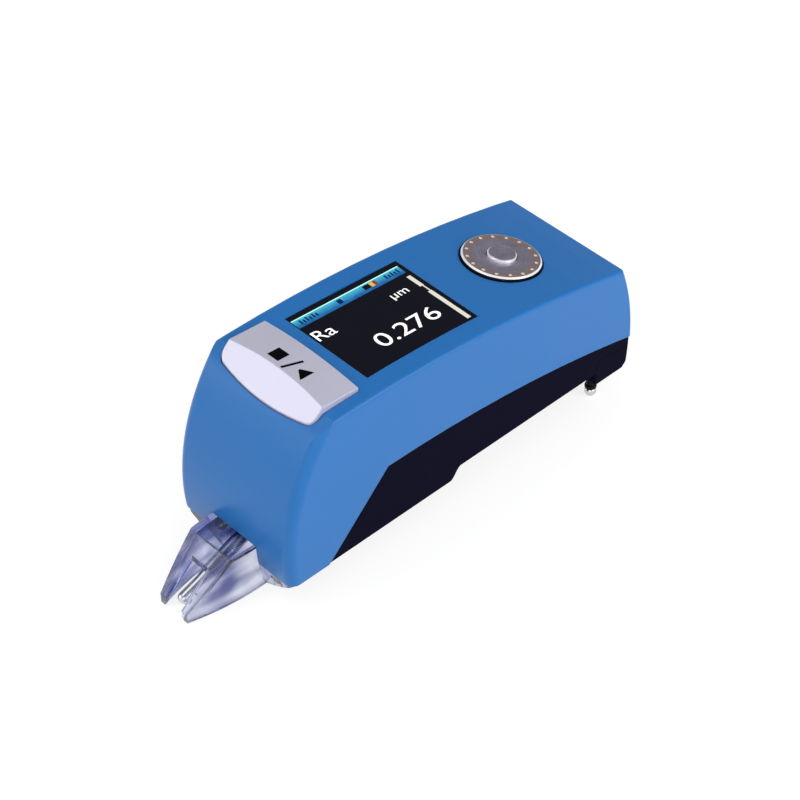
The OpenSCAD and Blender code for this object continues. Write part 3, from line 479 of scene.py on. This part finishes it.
# drift and grain are noise scales per metre, rough is glossy to dull, depth and edge are in metres
housingLook = {
    "dark": (0.011, 0.150, 0.460), "light": (0.015, 0.168, 0.500), "fleck": (0.030, 0.200, 0.55),
    "drift": 22, "grain": 2300, "speck": 0.35, "rough": (0.30, 0.40), "depth": 0.00003, "edge": 0.0003,
    "sockets": {"Specular IOR Level": 0.34},
}
baseLook = {
    "dark": (0.0024, 0.0025, 0.0105), "light": (0.0040, 0.0041, 0.0150), "fleck": (0.011, 0.011, 0.028),
    "drift": 30, "grain": 1700, "speck": 0.5, "rough": (0.40, 0.55), "depth": 0.00005, "edge": 0.0003,
    "sockets": {"Specular IOR Level": 0.01},
}
buttonLook = {
    "dark": (0.600, 0.592, 0.735), "light": (0.640, 0.632, 0.775), "fleck": (0.72, 0.71, 0.83),
    "drift": 60, "grain": 6500, "speck": 0.15, "rough": (0.28, 0.34), "depth": 0.0000008, "edge": 0.0004,
    "sockets": {"Metallic": 0.28},
}
windowLook = {
    "dark": (0.0035, 0.0035, 0.009), "light": (0.005, 0.005, 0.012), "fleck": (0.006, 0.006, 0.013),
    "drift": 70, "grain": 800, "speck": 0.1, "rough": (0.05, 0.11), "depth": 0.000001, "edge": 0.0001,
    "sockets": {"Specular IOR Level": 0.14},
}
rubberLook = {
    "dark": (0.012, 0.012, 0.012), "light": (0.018, 0.018, 0.018), "fleck": (0.03, 0.03, 0.03),
    "drift": 60, "grain": 1500, "speck": 0.3, "rough": (0.7, 0.85), "depth": 0.00003, "edge": 0.0002,
    "sockets": {"Specular IOR Level": 0.2},
}
darkPartLook = dict(rubberLook, rough=(0.45, 0.6))
trayLook = dict(darkPartLook, dark=(0.02, 0.02, 0.024), light=(0.03, 0.03, 0.034), fleck=(0.05, 0.05, 0.05))
wrapLook = dict(darkPartLook, dark=(0.33, 0.34, 0.37), light=(0.40, 0.41, 0.44), fleck=(0.5, 0.5, 0.52),
                rough=(0.2, 0.3), drift=45)
steelLook = {
    "dark": (0.46, 0.46, 0.48), "light": (0.62, 0.62, 0.64),
    "streak": (900, 4, 0.65), "along": (1, 0.06, 1),       # scale, octaves, bite; drawn out along y
    "cloud": 90, "cloudShare": 0.25,
    "rough": (0.22, 0.38), "depth": 0.000006, "edge": 0.0001, "sockets": {"Metallic": 1.0},
}
blackSteelLook = dict(steelLook, dark=(0.020, 0.020, 0.024), light=(0.045, 0.045, 0.05), rough=(0.3, 0.45))
postLook = dict(blackSteelLook, dark=(0.006, 0.006, 0.008), light=(0.014, 0.014, 0.017))
frameLook = dict(steelLook, dark=(0.52, 0.53, 0.56), light=(0.68, 0.69, 0.72), along=(0.05, 1, 1))
rodLook = dict(steelLook, dark=(0.56, 0.57, 0.59), light=(0.70, 0.71, 0.73), along=(1, 0.4, 0.4),
               rough=(0.12, 0.22))
brassLook = dict(steelLook, dark=(0.58, 0.40, 0.13), light=(0.74, 0.55, 0.22), along=(1, 1, 0.2),
                 rough=(0.18, 0.32))
pickupLook = dict(steelLook, dark=(0.50, 0.51, 0.55), light=(0.66, 0.67, 0.72), along=(0.08, 1, 0.5),
                  rough=(0.18, 0.3))
skidLook = dict(steelLook, dark=(0.16, 0.16, 0.18), light=(0.24, 0.24, 0.26), rough=(0.06, 0.12))
chromeLook = dict(steelLook, dark=(0.52, 0.53, 0.55), light=(0.64, 0.65, 0.67), along=(1, 1, 1),
                  rough=(0.04, 0.09), depth=0.000001)
boardLook = {
    "dark": (0.012, 0.10, 0.045), "mid": (0.016, 0.13, 0.06), "light": (0.04, 0.22, 0.10),
    "scale": 300, "gap": 0.03, "gloss": 400, "rough": (0.25, 0.4), "depth": 0.00003,
}
dialLook = {
    "centre": (0.0498, 0, 0.058743), "tilt": math.radians(10.665),   # m, the dial's axis
    "dark": (0.300, 0.283, 0.390), "light": (0.430, 0.400, 0.54), "fleck": (0.60, 0.54, 0.64),
    "metal": 0.85, "metalDrift": 0.05,
    "rings": 3200, "ringOctaves": 3, "ringShare": 0.5, "ringSpan": (0.45, 1.05),
    "cloud": (260, 4, 0.6), "grain": 2600, "grainShare": 0.5,        # cloud: scale, octaves, bite
    "rough": (0.24, 0.40), "depth": 0.000008, "edge": 0.00025,
    # rings in another tone: from and to which distance from the axis in m, how soft in m, tone, metal; the
    # second and the last are painted highlight on the dial's chamfer and on the middle button's rim, the
    # third is painted shade on the dial's side wall
    "rims": [(0.0100, 0.0119, 0.0011, (0.48, 0.365, 0.37), 0.85),
             (0.01215, 0.01266, 0.00005, (0.92, 0.91, 0.94), 0.15),
             (0.01268, 0.0140, 0.00002, (0.02, 0.02, 0.024), 0.85),
             (0.0044, 0.00475, 0.00005, (0.90, 0.89, 0.92), 0.3)],
}
noseLook = {
    # dark is partly painted shade: the dark inside seen through the clear plastic
    "dark": (0.085, 0.105, 0.33), "light": (0.86, 0.88, 0.96), "shade": (0.36, 0.64),
    "flow": (190, 0.6, 0.5), "along": (0.4, 1, 1),         # scale, octaves, bite; drawn out along x
    "rough": (0.02, 0.06), "depth": 0.00002, "edge": 0.0004,
    "tint": (0.36, 0.41, 0.76), "density": 90,             # of the plastic's depth
    "sockets": {"Transmission Weight": 1.0, "IOR": 1.49},
}

finishes = {
    "housing": mouldedPlastic("satinBlue", housingLook),
    "base": mouldedPlastic("grainedBlack", baseLook),
    "button": mouldedPlastic("silverLacquer", buttonLook),
    "window": mouldedPlastic("darkCover", windowLook),
    "panel": mouldedPlastic("screenPanel", dict(windowLook, rough=(0.3, 0.4))),
    "seal": mouldedPlastic("blackRubber", rubberLook),
    "board": solderMask("solderMask", boardLook),
    "screw": linedMetal("zincSteel", steelLook),
    "dark_screw": linedMetal("blackenedSteel", blackSteelLook),
    "dial": spunMetal("spunAluminium", dialLook),
    "switch": mouldedPlastic("switchBlack", darkPartLook),
    "tray": mouldedPlastic("trayGrey", trayLook),
    "battery": mouldedPlastic("cellWrap", wrapLook),
    "frame": linedMetal("milledAluminium", frameLook),
    "rod": linedMetal("groundSteel", rodLook),
    "brass": linedMetal("turnedBrass", brassLook),
    "motor": linedMetal("motorCan", dict(steelLook, along=(0.05, 1, 1))),
    "pickup": linedMetal("satinSteel", pickupLook),
    "skid": linedMetal("hardSkid", skidLook),
    "nose": clearMoulding("clearNose", noseLook),
    "foot": linedMetal("blackFoot", postLook),
    "ball": linedMetal("polishedBall", chromeLook),
    "socket": linedMetal("platedShell", steelLook),
}
slotOf = {part["node"]: part["material_slot"] for part in frame["record"]["subparts"]}
for nodeName, node in nodes.items():
    node.data.materials.clear()
    node.data.materials.append(finishes[slotOf[nodeName]])
print("finishes set on", len(nodes), "nodes")

archRadius, archTop, archCrest = 449.0, 66.5, -33.3   # mm, the long arch of the top


def onArch(x, u, v, n):
    # a point u along, v across and n above the plane that touches the arch at x, in metres
    angle = math.asin((x - archCrest) / archRadius)
    along = np.array([math.cos(angle), 0, -math.sin(angle)])
    above = np.array([math.sin(angle), 0, math.cos(angle)])
    foot = np.array([x, 0, archTop - archRadius + math.sqrt(archRadius**2 - (x - archCrest) ** 2)])
    u, v, n = np.broadcast_arrays(u, v, n)
    spot = foot + u[..., None] * along + n[..., None] * above
    spot[..., 1] += v
    return spot * mm


screenLayout = {
    "middle": -0.4,                   # mm, where the window touches the arch
    "glass": -0.6,                    # mm, height of the cover glass over that plane
    "lift": 0.03,                     # mm, each lit layer above the one under it
    "header": (-22.2, 20.9, 11.5, 15.5),          # u from, u to, v from, v to
    "headerLine": (-22.2, 20.9, 15.15, 15.55),
    "bars": [(19.3, 20.8, 3.6, 9.7), (20.1, 20.6, 0.4, 3.6), (19.3, 20.8, -16.6, 0.4)],
    "cell": [(5.4, 8.1, 12.7, 14.7), (8.1, 9.5, 12.7, 14.7), (9.5, 10.8, 12.7, 14.7)],
    "leftMarks": (-20.2, -12.8, 12.6, 14.6, 6),   # box and number of strokes
    "rightMarks": (14.2, 20.2, 12.7, 14.6, 5),
    "midMark": (-5.2, -3.4, 12.5, 14.6),
    "stroke": (0.55, 0.5),            # width as a share of the step, mm that every second one is shorter
    "grid": (9, 5),                   # points of a patch along and across
}
lettering = [
    # words, left u, baseline v, height of the tallest letter, width
    ("Ra", -21.7, 3.1, 4.7, 7.25),
    ("µm", 8.85, 3.15, 2.9, 6.5),
    ("0.276", -9.3, -10.9, 6.1, 24.3),
]


def screenPatch(name, box, ink, layer=0):
    # a flat rectangle of the lit layer
    along, across = screenLayout["grid"]
    u, v = np.meshgrid(np.linspace(*box[:2], along), np.linspace(*box[2:], across), indexing="ij")
    level = screenLayout["glass"] + screenLayout["lift"] * (1 + layer)
    dress(gridPiece(name, onArch(screenLayout["middle"], u, v, level)), ink, "body")


def screenWords(name, words, left, base, tall, wide, ink):
    # the letters as a flat mesh: each point's share of their own box is its share of the given one,
    # and they are laid on the glass
    curve = bpy.data.curves.new(name, "FONT")
    curve.body = words
    text = bpy.data.objects.new(name, curve)
    scene.collection.objects.link(text)
    bpy.context.view_layer.update()
    flat = bpy.data.meshes.new_from_object(text.evaluated_get(bpy.context.evaluated_depsgraph_get()))
    spots = np.empty(len(flat.vertices) * 3)
    flat.vertices.foreach_get("co", spots)
    spots = spots.reshape(-1, 3)
    low, high = spots.min(0), spots.max(0)
    u = left + (spots[:, 0] - low[0]) / (high[0] - low[0]) * wide
    v = base + (spots[:, 1] - low[1]) / (high[1] - low[1]) * tall
    level = screenLayout["glass"] + 2 * screenLayout["lift"]
    flat.vertices.foreach_set("co", onArch(screenLayout["middle"], u, v, level).ravel())
    flat.update()
    bpy.data.objects.remove(text)
    piece = bpy.data.objects.new(name, flat)
    scene.collection.objects.link(piece)
    dress(piece, ink, "body")


headerLook = {
    "near": (0.003, 0.048, 0.25), "far": (0.055, 0.40, 0.52),
    "across": (0.0123, 0.0160),       # m, where the near blue ends and the far one starts
    "dots": 700, "dotShare": 0.3, "rough": (0.34, 0.46),
    "sockets": {"Emission Strength": 0.45, "Specular IOR Level": 0.05},
}
inkHeader = litHeader("litBlue", headerLook)
inkWhite = printedInk("litWhite", (0.88, 0.88, 0.88), 0.6)
inkLine = printedInk("litMint", (0.45, 0.80, 0.72), 0.6)
inkMark = printedInk("litNavy", (0.003, 0.018, 0.09), 0.4)
inkBlack = printedInk("litDark", (0.008, 0.008, 0.012))
inkYellow = printedInk("litYellow", (0.60, 0.36, 0.05), 0.6)
inkRed = printedInk("litRed", (0.20, 0.035, 0.03), 0.6)
inkCream = printedInk("litCream", (0.58, 0.57, 0.50), 0.5)
inkPrint = printedInk("blackPrint", (0.002, 0.002, 0.003))

screenPatch("screen_header", screenLayout["header"], inkHeader)
screenPatch("screen_header_line", screenLayout["headerLine"], inkLine, 1)
for i, bar in enumerate(screenLayout["bars"]):
    screenPatch(f"screen_scroll_{i}", bar, inkCream)
for i, (box, ink) in enumerate(zip(screenLayout["cell"], (inkBlack, inkYellow, inkRed))):
    screenPatch(f"screen_cell_{i}", box, ink, 1)
screenPatch("screen_mid_mark", screenLayout["midMark"], inkMark, 1)
share, drop = screenLayout["stroke"]
for marks in ("leftMarks", "rightMarks"):
    u0, u1, v0, v1, count = screenLayout[marks]
    step = (u1 - u0) / count
    for i in range(count):
        stroke = (u0 + i * step, u0 + (i + share) * step, v0, v1 - drop * (i % 2))
        screenPatch(f"screen_{marks}_{i}", stroke, inkMark, 1)
for i, row in enumerate(lettering):
    screenWords(f"screen_words_{i}", *row, inkWhite)
print("screen lit")

signLook = {
    "ridge": (-41.4, 69.6), "crown": 143.0, "tilt": 94.7,   # mm and degrees, the button's rear facet
    "lift": 0.02,                                           # mm, print above the lacquer
    "square": (-7.2, 4.55, 2.3),                            # middle along, middle across, half side
    "slash": ((-10.7, -0.4), (-3.9, -2.55), 0.46),          # two ends and half width
    "triangle": ((-7.3, -4.5), (-4.7, -8.1), (-10.2, -8.1)),
    "tip": 0.06,                                            # half its blunt tip as a share of the foot
    "grid": 13,                                             # points along each side of a sign
}


def onFacet(a, y):
    # the rear facet is a cylinder about a sloping axis: a runs along it, y across
    t = math.radians(signLook["tilt"])
    along = np.array([math.sin(t), 0, math.cos(t)])
    above = np.array([-math.cos(t), 0, math.sin(t)])
    foot = np.array([signLook["ridge"][0], 0, signLook["ridge"][1] - signLook["crown"]])
    rise = np.sqrt(signLook["crown"] ** 2 - y**2) + signLook["lift"]
    spot = foot + a[..., None] * along + rise[..., None] * above
    spot[..., 1] += y
    return spot * mm


def printSign(name, corners):
    # four corners blended across a square grid: p = (1-s)(1-t)A + s(1-t)B + s t C + (1-s) t D
    line = np.linspace(0, 1, signLook["grid"])
    s, t = np.meshgrid(line, line, indexing="ij")
    c = np.array(corners, float)
    flat = ((1 - s) * (1 - t))[..., None] * c[0] + (s * (1 - t))[..., None] * c[1] \
        + (s * t)[..., None] * c[2] + ((1 - s) * t)[..., None] * c[3]
    dress(gridPiece(name, onFacet(flat[..., 0], flat[..., 1])), inkPrint, "start_button")


def printSigns():
    a, y, half = signLook["square"]
    corners = np.array([(-1, -1), (1, -1), (1, 1), (-1, 1)])
    printSign("sign_square", np.array([a, y]) + half * corners)
    start, end, half = signLook["slash"]
    start, end = np.array(start), np.array(end)
    way = (end - start) / np.linalg.norm(end - start)
    across = np.array([-way[1], way[0]]) * half
    printSign("sign_slash", [start - across, end - across, end + across, start + across])
    tip, rearFoot, frontFoot = np.array(signLook["triangle"])
    blunt = signLook["tip"] * (rearFoot - frontFoot)
    printSign("sign_triangle", [frontFoot, rearFoot, tip + blunt, tip - blunt])


printSigns()
print("signs printed")

dotLook = {
    "middle": 49.8, "top": 1.1, "ring": 10.95, "count": 16, "first": 13.6,   # mm and degrees
    "ball": 0.62, "ballHeight": 0.14, "fill": 0.55,   # mm, the dimple's ball and the radius of the painted highlight
    "swell": 0.1, "skin": 0.012,                      # mm of the painted highlight's layer: more in the middle, and all over
    "grid": (5, 16),                                  # rings of a dot and points in a ring
}
# cream: painted highlight in the dial's dimples
dimpleHighlightInk = printedInk("paintedDimpleHighlight", (0.84, 0.70, 0.58))


def paintDimpleHighlights():
    # each dot is a shallow bowl of cream, a painted highlight for the light each dimple catches: the
    # dimple's ball at radius r, raised by a skin all over and by a swell that falls from the middle to the
    # rim as 1 - (r / fill) squared
    rings, points = dotLook["grid"]
    r, turn = np.meshgrid(np.linspace(0, dotLook["fill"], rings),
                          np.linspace(0, 2 * np.pi, points, endpoint=False), indexing="ij")
    ring = np.radians(np.arange(dotLook["count"]) * 360 / dotLook["count"] + dotLook["first"])
    u = dotLook["ring"] * np.cos(ring)[:, None, None] + (r * np.cos(turn))[None]
    v = dotLook["ring"] * np.sin(ring)[:, None, None] + (r * np.sin(turn))[None]
    dimple = dotLook["top"] + dotLook["ballHeight"] - np.sqrt(dotLook["ball"] ** 2 - r**2)
    paint = dimple + dotLook["swell"] * (1 - (r / dotLook["fill"]) ** 2) + dotLook["skin"]
    spots = onArch(dotLook["middle"], u, v, np.broadcast_to(paint, u.shape))
    faces = gridQuads(rings, points, True, dotLook["count"])
    piece = closeUp(facePiece("dial_dots", spots.reshape(-1, 3), faces), False)
    dress(piece, dimpleHighlightInk, "jog_dial", True)


paintDimpleHighlights()
print("dial dots painted")

turnPoints, threadSteps = 36, 8   # points in a ring, rings to one turn of a thread
turns = np.linspace(0, 2 * np.pi, turnPoints, endpoint=False)


def threadRows(start, end, outer, depth, pitch, steps):
    # a V thread: the radius falls by up to depth as a triangle wave of height and turn,
    # and runs out at both ends
    z = np.linspace(start, end, steps)[:, None] + 0 * turns
    wave = np.abs(2 * ((z / pitch - turns / (2 * np.pi)) % 1) - 1)
    fade = np.clip(np.minimum(z - start, end - z) / pitch, 0, 1)
    return outer - depth * wave * fade, z


def ringRows(rows):
    # plain rings: each row gives a radius and a height in mm and, if lobed, the lobes' count and share;
    # the radius is r (1 - share cos(count turn))
    r, z, count, share = np.array([(*row, 0, 0)[:4] for row in rows], float).T[..., None]
    return r * (1 - share * np.cos(count * turns)), z + 0 * turns


def turnedPiece(name, parts, places):
    # a turned part: rings of radius r(i, turn) at height z(i, turn), set down at each (x, y, z) in mm
    r, z = (np.concatenate([part[k] for part in parts]) for k in (0, 1))
    one = np.stack([r * np.cos(turns), r * np.sin(turns), z], -1)
    spots = (one.reshape(1, -1, 3) + np.array(places, float)[:, None]) * mm
    faces = gridQuads(*one.shape[:2], True, len(places))
    return closeUp(facePiece(name, spots.reshape(-1, 3), faces))


screwLook = {
    "recess": (0.74, 6, -0.15, 0.85),      # radius in mm, lobes, their share of it, depth in mm
    "recessEase": (0.15, 0.06, 0.07),      # mm: drill point under its floor, edge of the floor, rim
    # head radius and height, then its side as rows of (how far inside the radius, height), mm
    "sunk": (2.2, 1.2, [(0.12, 0.0), (0.11, 0.09)]),
    "pan": (2.0, 1.4, [(0.35, 0.0), (0.1, 0.1), (0.0, 0.35), (0.0, 1.38), (0.02, 1.4)]),
    "shank": 1.1, "pitch": 0.5, "cut": 0.16, "runOut": (0.1, 0.35),   # mm; plain at head and point
    "point": (0.7, 0.6, 0.05),             # radius as a share before its end and at it, mm between
    # where each kind's heads sit and how long it is, mm
    "base": [(-47, 19, 10.8), (-47, -19, 10.8), (62, 19, 14.9), (62, -19, 14.9)], "baseLength": 9.0,
    "carrier": [(75.5, 9, 10.0), (75.5, -9, 10.0)], "carrierLength": 6.9,
    "nose": [(-55.6, 15.5, 5.4), (-55.6, -15.5, 5.4)], "noseLength": 7.4,
}


def screwParts(headKind, length):
    # head face down: lobed recess, rim, cone or pan, then the threaded shank up to its point
    radius, lobes, share, deep = screwLook["recess"]
    drill, floorEase, rimEase = screwLook["recessEase"]
    shank, pitch, cut = screwLook["shank"], screwLook["pitch"], screwLook["cut"]
    wide, tall, sideRows = screwLook[headKind]
    head = [(0, deep + drill), (0.5 * radius, deep, lobes, share), (radius, deep - floorEase, lobes, share),
            (radius, rimEase, lobes, share), (radius + rimEase, 0, lobes, share)]
    head += [(wide - inside, height) for inside, height in sideRows] + [(shank, tall)]
    steps = int((length - tall) / pitch * threadSteps)
    atHead, atPoint = screwLook["runOut"]
    thread = threadRows(tall + atHead, length - atPoint, shank, cut, pitch, steps)
    before, last, gap = screwLook["point"]
    point = [(before * shank, length - gap), (last * shank, length), (0, length)]
    return [ringRows(head), thread, ringRows(point)]


def setScrews():
    kinds = (("base", "sunk", "dark_screw"), ("carrier", "sunk", "dark_screw"), ("nose", "pan", "screw"))
    for kind, headKind, slot in kinds:
        parts = screwParts(headKind, screwLook[kind + "Length"])
        piece = turnedPiece(kind + "_screws_cut", parts, screwLook[kind])
        dress(piece, finishes[slot], "body", True)
        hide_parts(kind + "_screws")


setScrews()
print("screws cut")

footLook = {
    "left": (73.5, 19.3), "right": (73.5, -19.3),   # mm
    "post": 1.6, "low": 2.0, "high": 14.5, "topEase": 0.3,
    "pitch": 0.7, "cut": 0.18, "runOut": 0.35,
    "collar": (2.0, 3.4, 4.9, 0.9),                 # radius, from, to, share of the radius at its ends
    "flutes": (18, 0.05),                           # count, depth as a share
    "grip": (0.2, 5),                               # mm inside the collar's ends, rings
    "neck": (0.1, 0.05, 0.3),                       # mm slimmer than the post, from and to over the collar
}


def setPosts():
    # a fluted collar above the ball, then a threaded post
    post, low, high = footLook["post"], footLook["low"], footLook["high"]
    wide, start, end, endShare = footLook["collar"]
    flutes, share = footLook["flutes"]
    inset, rings = footLook["grip"]
    slimmer, neckStart, neckEnd = footLook["neck"]
    pitch, cut, runOut, topEase = (footLook[key] for key in ("pitch", "cut", "runOut", "topEase"))
    half, neck = share / 2, post - slimmer
    lower = [(0, low), (post, low), (post, start), (wide * endShare, start)]
    lower += [(wide * (1 - half), z, flutes, half) for z in np.linspace(start + inset, end - inset, rings)]
    lower += [(wide * endShare, end), (neck, end + neckStart), (neck, end + neckEnd)]
    upper = [(neck, high - topEase), (post - topEase, high), (0, high)]
    steps = int((high - end) / pitch * threadSteps)
    thread = threadRows(end + runOut, high - runOut, post, cut, pitch, steps)
    parts = [ringRows(lower), thread, ringRows(upper)]
    for side in ("left", "right"):
        piece = turnedPiece(f"foot_post_{side}_cut", parts, [(*footLook[side], 0)])
        dress(piece, finishes["foot"], side + "_foot", True)
        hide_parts("foot_post_" + side)


setPosts()
print("foot posts cut")

insertLook = {
    "place": (59, 0, 14.9), "tall": 8.0, "outer": 3.58, "hole": 2.1, "ease": 0.3,   # mm
    "pitch": 1.0, "cut": 0.42, "steps": 80,        # of its thread
    "flange": (0.15, 0.6, 0.65),                   # mm: its rim, where it ends, where the ribs start
    "ribs": (36, 0.015), "ribEase": 0.1,           # count, depth as a share; mm from ribs to waist
    "waist": (3.5, 4.5, 0.3), "topEase": 0.3,      # mm: from, to, how deep it goes between the ribs
}


def setInsert():
    # a ring: up the ribbed outside, over the top, down through the thread and back under the face
    look = insertLook
    outer, mouth, tall = look["outer"], look["hole"] + look["ease"], look["tall"]
    rim, flangeEnd, ribStart = look["flange"]
    waistStart, waistEnd, waistDepth = look["waist"]
    ribs, ease, topEase = look["ribs"], look["ribEase"], look["topEase"]
    ribbed = outer * (1 - ribs[1])
    outside = [(mouth, 0), (outer - rim, 0), (outer, rim), (outer, flangeEnd),
               (ribbed, ribStart, *ribs), (ribbed, waistStart - ease, *ribs),
               (outer - waistDepth, waistStart), (outer - waistDepth, waistEnd),
               (ribbed, waistEnd + ease, *ribs), (ribbed, tall - topEase, *ribs),
               (outer - topEase, tall), (mouth, tall)]
    r, z = threadRows(look["ease"], tall - look["ease"], 0, look["cut"], look["pitch"], look["steps"])
    parts = [ringRows(outside), (look["hole"] - r[::-1], z[::-1]), ringRows(outside[:1])]
    piece = turnedPiece("stand_insert_cut", parts, [look["place"]])
    dress(piece, finishes["brass"], "body", True)
    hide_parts("stand_insert")


setInsert()
print("stand insert cut")

socketLook = {
    # mm; the sections are half width, half height and corner radius
    "middle": 18.65, "outer": (4.4, 1.75, 1.7), "inner": (3.95, 1.3, 1.25),
    "tongue": (3.3, 0.35, 0.3),
    "back": 73.5, "front": 82.6, "floor": 75.5, "tongueEnd": 81.4, "tongueRoot": 0.5,
    # how far from an end its easing starts in mm, and the section's size at that end as a share
    "heel": (0.15, 0.96), "lip": (0.12, 0.975), "mouth": (0.15, 1.03), "tongueTip": (0.2, 0.94),
    "cornerPoints": 9,
}


def roundedSection(half, tall, corner):
    # quarter circles at the four corners of a rectangle, as one closed run of (y, z)
    quarter = np.linspace(0, np.pi / 2, socketLook["cornerPoints"])
    swing = quarter[None] + np.arange(4)[:, None] * np.pi / 2
    y = np.array([1, -1, -1, 1])[:, None] * (half - corner) + corner * np.cos(swing)
    z = np.array([1, 1, -1, -1])[:, None] * (tall - corner) + corner * np.sin(swing)
    return np.stack([y.ravel(), z.ravel()], -1)


def carriedPiece(name, rows):
    # sections carried along x: each row is (x, section, scale), a scale of 0 closes the end
    sections = [np.insert(part * scale, 0, x, axis=1) for x, part, scale in rows]
    points = np.stack(sections)
    points[..., 2] += socketLook["middle"]
    return closeUp(gridPiece(name, points * mm, closed=True))


def setSocket():
    # the shell runs along its outside, round the lip and back along its inside to the floor,
    # and the tongue stands in that floor
    look = socketLook
    outer, inner, bar = (roundedSection(*look[key]) for key in ("outer", "inner", "tongue"))
    heel, heelShare = look["heel"]
    lip, lipShare = look["lip"]
    mouth, mouthShare = look["mouth"]
    tip, tipShare = look["tongueTip"]
    back, front, floor, end = look["back"], look["front"], look["floor"], look["tongueEnd"]
    root = floor - look["tongueRoot"]
    shell = carriedPiece("data_socket_shell", [
        (back, outer, 0), (back, outer, heelShare), (back + heel, outer, 1),
        (front - lip, outer, 1), (front, outer, lipShare), (front, inner, mouthShare),
        (front - mouth, inner, 1), (floor, inner, 1), (floor, inner, 0)])
    dress(shell, finishes["socket"], "body", True)
    tongue = carriedPiece("data_socket_tongue", [
        (root, bar, 0), (root, bar, 1), (end - tip, bar, 1), (end, bar, tipShare), (end, bar, 0)])
    dress(tongue, finishes["switch"], "body", True)
    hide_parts("usb_socket")


setSocket()
print("data socket formed")
